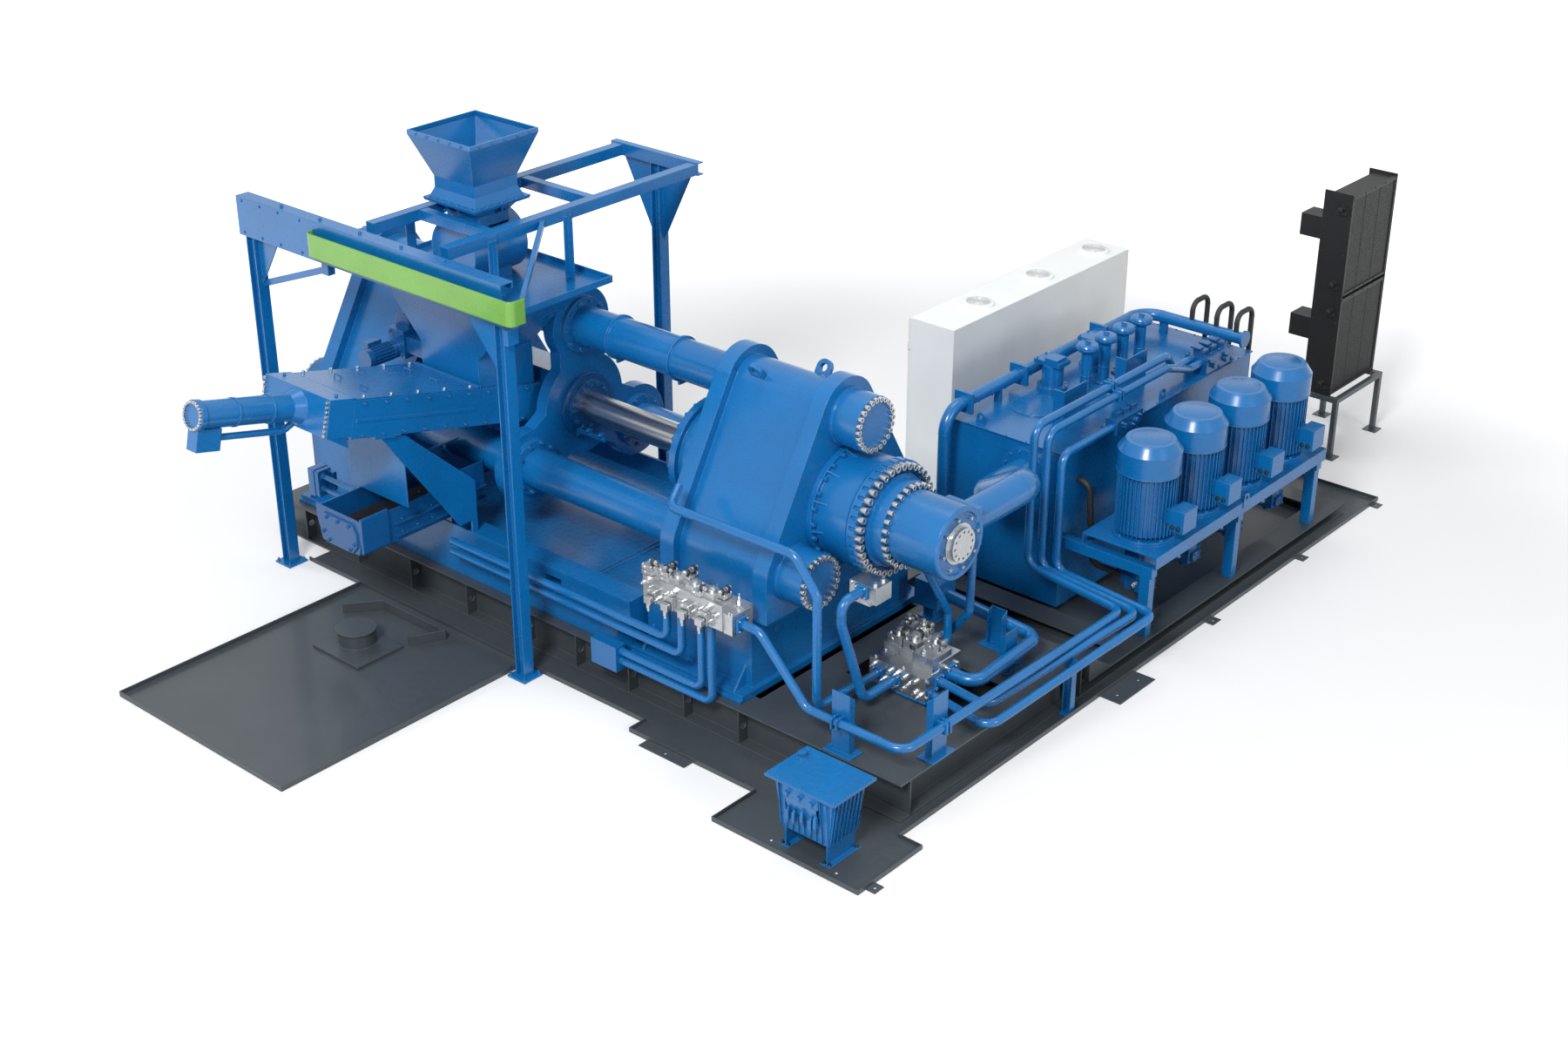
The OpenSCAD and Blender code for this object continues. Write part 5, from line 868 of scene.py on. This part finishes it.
# %% Pre-compactor trim
LEAN = Matrix.Translation((-3.320, 0.0, 2.080)) @ Matrix.Rotation(math.radians(-14.0), 4, "X")
along_x, along_y, along_z = (LEAN.to_3x3() @ Vector(v) for v in (RIGHT, BACK, UP))
HALF_WIDTH, COVER = 0.500, 0.185
box_trim = bmesh.new()
for step, side, z in product(range(9), (-1, 1), (-0.185, 0.135)):
    spot = (side * HALF_WIDTH, -2.78 + step * 0.27, z)
    socket_screw(box_trim, LEAN @ Vector(spot), along_x * side, 0.030)
for side in (-1, 1):
    plate(box_trim, (side * HALF_WIDTH - 0.006, -2.86, -0.060),
          (side * HALF_WIDTH + 0.006, -1.30, -0.020), 0.002, LEAN)
    # screws in the front corners of the cover
    socket_screw(box_trim, LEAN @ Vector((side * 0.40, -3.05, COVER + 0.010)), along_z, 0.034)
# lifting handles: two posts and a rod
for y, x in product((-2.55, -1.65), (-0.20, 0.20)):
    for post in (x - 0.05, x + 0.05):
        bar(box_trim, LEAN @ Vector((post, y, COVER)), along_z, 0.007, 0.035, 8)
    bar(box_trim, LEAN @ Vector((x - 0.057, y, COVER + 0.035)), along_x, 0.007, 0.114, 8)
# clamp bands round the cylinder tube
for y in (-3.55, -3.95):
    band(box_trim, LEAN @ Vector((0.0, y, 0.0)), along_y, 0.1345, 0.143, 0.028, 0.002)
piece(box_trim, "pre_compactor_trim", BLUE)

# %% [markdown]
# ## Portal screws
# The portal over the press is bolted together on site. Its columns are anchored at the foot,
# the roof tubes are closed with welded end plates, and the beam carries a few hexagon screws
# beside its green band.

# %% Portal screws
foot_top, column_y, beam_front = 0.036, -1.948, -2.0205
rig = bmesh.new()
# anchor screws in the foot plates of the columns
for x, dx, dy in product((-1.545, -5.335), (-0.098, 0.098), (-0.098, 0.098)):
    bar(rig, (x + dx, column_y + dy, foot_top), UP, 0.008, 0.022, 8)
# end plates of the roof tubes
for x in (-3.730, -2.620):
    plate(rig, (x - 0.058, -1.7015, 4.142), (x + 0.058, -1.6985, 4.258))
# screws along the front of the beam, beside the green band
for x, z in product((-5.40, -5.10, -4.80, -4.45), (3.86, 4.20)):
    hex_screw(rig, (x, beam_front, z), FRONT, 0.022)
piece(rig, "gantry_screws", BLUE)

# %% [markdown]
# ## Lubrication tank
# The small tank at the corner is cast with cooling ribs. The frame has every second rib, and the
# ones between are thin enough to be added here. Its front carries a sloping apron and a row of
# slim valves with hexagon heads. A sheet is drawn by its outline and grown along its own normal,
# which is how a laser-cut plate is made too.

# %% Lubrication tank trim
def web(form, corners, thickness):
    """A flat sheet from its outline, grown along its own normal."""
    face = form.faces.new([form.verts.new(corner) for corner in corners])
    face.normal_update()
    along = face.normal * thickness
    grown = bmesh.ops.extrude_face_region(form, geom=[face], use_keep_orig=True)["geom"]
    bmesh.ops.translate(form, vec=along,
                        verts=[v for v in grown if isinstance(v, bmesh.types.BMVert)])


RIB = 0.005
mid_x, mid_y, foot, lid_low = 2.620, -2.255, 0.200, 0.738
ribs = bmesh.new()
for step, side in product(range(8), (-1, 1)):
    y = mid_y + (step - 3.5) * 0.055
    inner = mid_x + side * 0.20
    web(ribs, [(inner, y, foot), (mid_x + side * 0.285, y, foot + 0.020),
               (mid_x + side * 0.352, y, lid_low), (inner, y, lid_low)], RIB)
for step in range(8):
    x = mid_x + (step - 3.5) * 0.068
    web(ribs, [(x, mid_y + 0.12, foot), (x, mid_y + 0.210, foot + 0.020),
               (x, mid_y + 0.258, lid_low), (x, mid_y + 0.12, lid_low)], RIB)
# apron under the cover, and the slim valves below it
web(ribs, [(2.440, -2.530, 0.600), (2.800, -2.530, 0.600), (2.780, -2.490, 0.430),
           (2.460, -2.490, 0.430)], 2 * RIB)
for x, z in ((2.475, 0.36), (2.545, 0.36), (2.640, 0.40), (2.735, 0.36), (2.790, 0.40)):
    plate(ribs, (x - 0.016, -2.540, z), (x + 0.016, -2.500, z + 0.110), 0.003)
    bar(ribs, (x, -2.520, z + 0.110), UP, 0.014, 0.022, 6)
    bar(ribs, (x, -2.520, z), DOWN, 0.010, 0.030, 12, 0.002)
# knurled grip of the filler cap, and the folded rim of the lid
for spot in spots_round((2.310, -2.135, 0.768), 0.040, 12):
    bar(ribs, spot, UP, 0.004, 0.038, 6)
for x, y in ((2.222, -2.542), (3.012, -1.962)):
    plate(ribs, (x, -2.548, 0.722), (3.018, y, 0.7375), 0.001)
piece(ribs, "lubrication_tank_trim", BLUE)

# %% [markdown]
# ## Discharge trough
# Hot briquettes slide down this trough, so it is lined with bare steel sheets that can be
# renewed. The sheets get a dark steel finish, which paints the shade inside the trough. The
# rows of countersunk screws that hold them are what shows from above.

# %% Trough liner
liner_painted_shade, liner_screws = bmesh.new(), bmesh.new()
near, far, floor_top = -2.640, -1.020, 1.1455
plate(liner_painted_shade, (-3.638, near, 1.1435), (-3.162, far, 1.148), 0.001)
for inner, outer in ((-3.640, -3.7145), (-3.160, -3.0855)):
    web(liner_painted_shade, [(inner, near, floor_top), (inner, far, floor_top), (outer, far, 1.2495),
                (outer, near, 1.2495)], 0.003)
for step, x in product(range(12), (-3.600, -3.200)):
    bar(liner_screws, (x, -2.580 + step * 0.138, 1.1475), UP, 0.009, 0.003, 10, 0.001)
for step in range(7):
    y = -2.060 + step * 0.150
    hex_screw(liner_screws, (-3.716, y, 1.560), RIGHT, 0.018)
    hex_screw(liner_screws, (-3.070, y + 0.02, 1.570), RIGHT, 0.018)
# dark steel on the liner sheets: painted shade inside the trough
piece(liner_painted_shade, "trough_liner_painted_shade", DARK_STEEL, slot="dark_blue_paint")
piece(liner_screws, "trough_screws", DARK_BLUE)

# %% [markdown]
# A small clamp stands out from the left wall of the trough: a housing on two polished guide bars,
# which holds the last briquette while the ram draws back. Its bars are bright only where they
# slide, so here they are painted like the housing.

# %% Clamp of the trough
clamp = bmesh.new()
flange, wall, axis_y = -4.345, -3.748, -2.125
for x0, x1, y0, y1, z0, z1, edge in (
        (-4.505, -4.405, -2.205, -2.010, 1.195, 1.505, 0.006),
        (-4.405, flange, -2.195, -2.020, 1.205, 1.495, 0.004),
        (-4.440, -4.260, -2.060, -2.012, 1.260, 1.470, 0.004),
        (wall, -3.730, -2.185, -2.025, 1.215, 1.490, 0.003)):
    plate(clamp, (x0, y0, z0), (x1, y1, z1), edge)
for z in (1.425, 1.285):
    bar(clamp, (flange, axis_y, z), RIGHT, 0.028, 0.600, 20)
    bar(clamp, (flange, axis_y, z), RIGHT, 0.040, 0.014, 20, 0.003)
    bar(clamp, (wall, axis_y, z), LEFT, 0.038, 0.016, 20, 0.003)
for z, y in product((1.220, 1.350, 1.480), (-2.182, -2.060)):
    socket_screw(clamp, (flange, y, z), RIGHT, 0.018)
piece(clamp, "trough_clamp", BLUE)

# %% [markdown]
# ## Ram guide fittings
# Below the ram an arm reaches out from its guide. It carries two switches, which feel where the
# ram is, and their cable glands. The arm stays clear of the rod on its whole way.

# %% Switch arm of the ram guide
arm = bmesh.new()
plate(arm, (-2.470, -0.175, 1.815), (-2.090, -0.155, 1.865), 0.003)
plate(arm, (-2.470, -0.215, 1.800), (-2.455, -0.115, 1.880), 0.003)
for x in (-2.330, -2.150):
    plate(arm, (x - 0.030, -0.185, 1.865), (x + 0.030, -0.135, 1.905), 0.004)
    stacked(arm, (x, -0.185, 1.885), FRONT, (0.016, 0.012, 6), (0.012, 0.016, 14, 0.003))
    for dx in (-0.018, 0.018):
        socket_screw(arm, (x + dx, -0.175, 1.840), FRONT, 0.016)
piece(arm, "switch_arm", BLUE)

# %% [markdown]
# ## Anchor screws
# The lubrication tank is held to the floor tray by anchors: a washer, a nut and the end of a
# thread. They are the same size as anywhere, so they also tell how big the machine is.

# %% Anchors of the lubrication tank
anchors = bmesh.new()
for dx, dy in product((-0.272, -0.208, 0.208, 0.272), (-0.190, 0.190)):
    stacked(anchors, (mid_x + dx, mid_y + dy, 0.014), UP,
            (0.020, 0.003, 14), (0.0145, 0.013, 6), (0.008, 0.018, 10, 0.002))
piece(anchors, "anchor_screws", DARK_STEEL, slot="zinc_steel")

# %% [markdown]
# ## Last step
# The dressed machine has to stay in the box of the plain one. This cell only brings the scene up
# to date.

# %% Last step
bpy.context.view_layer.update()
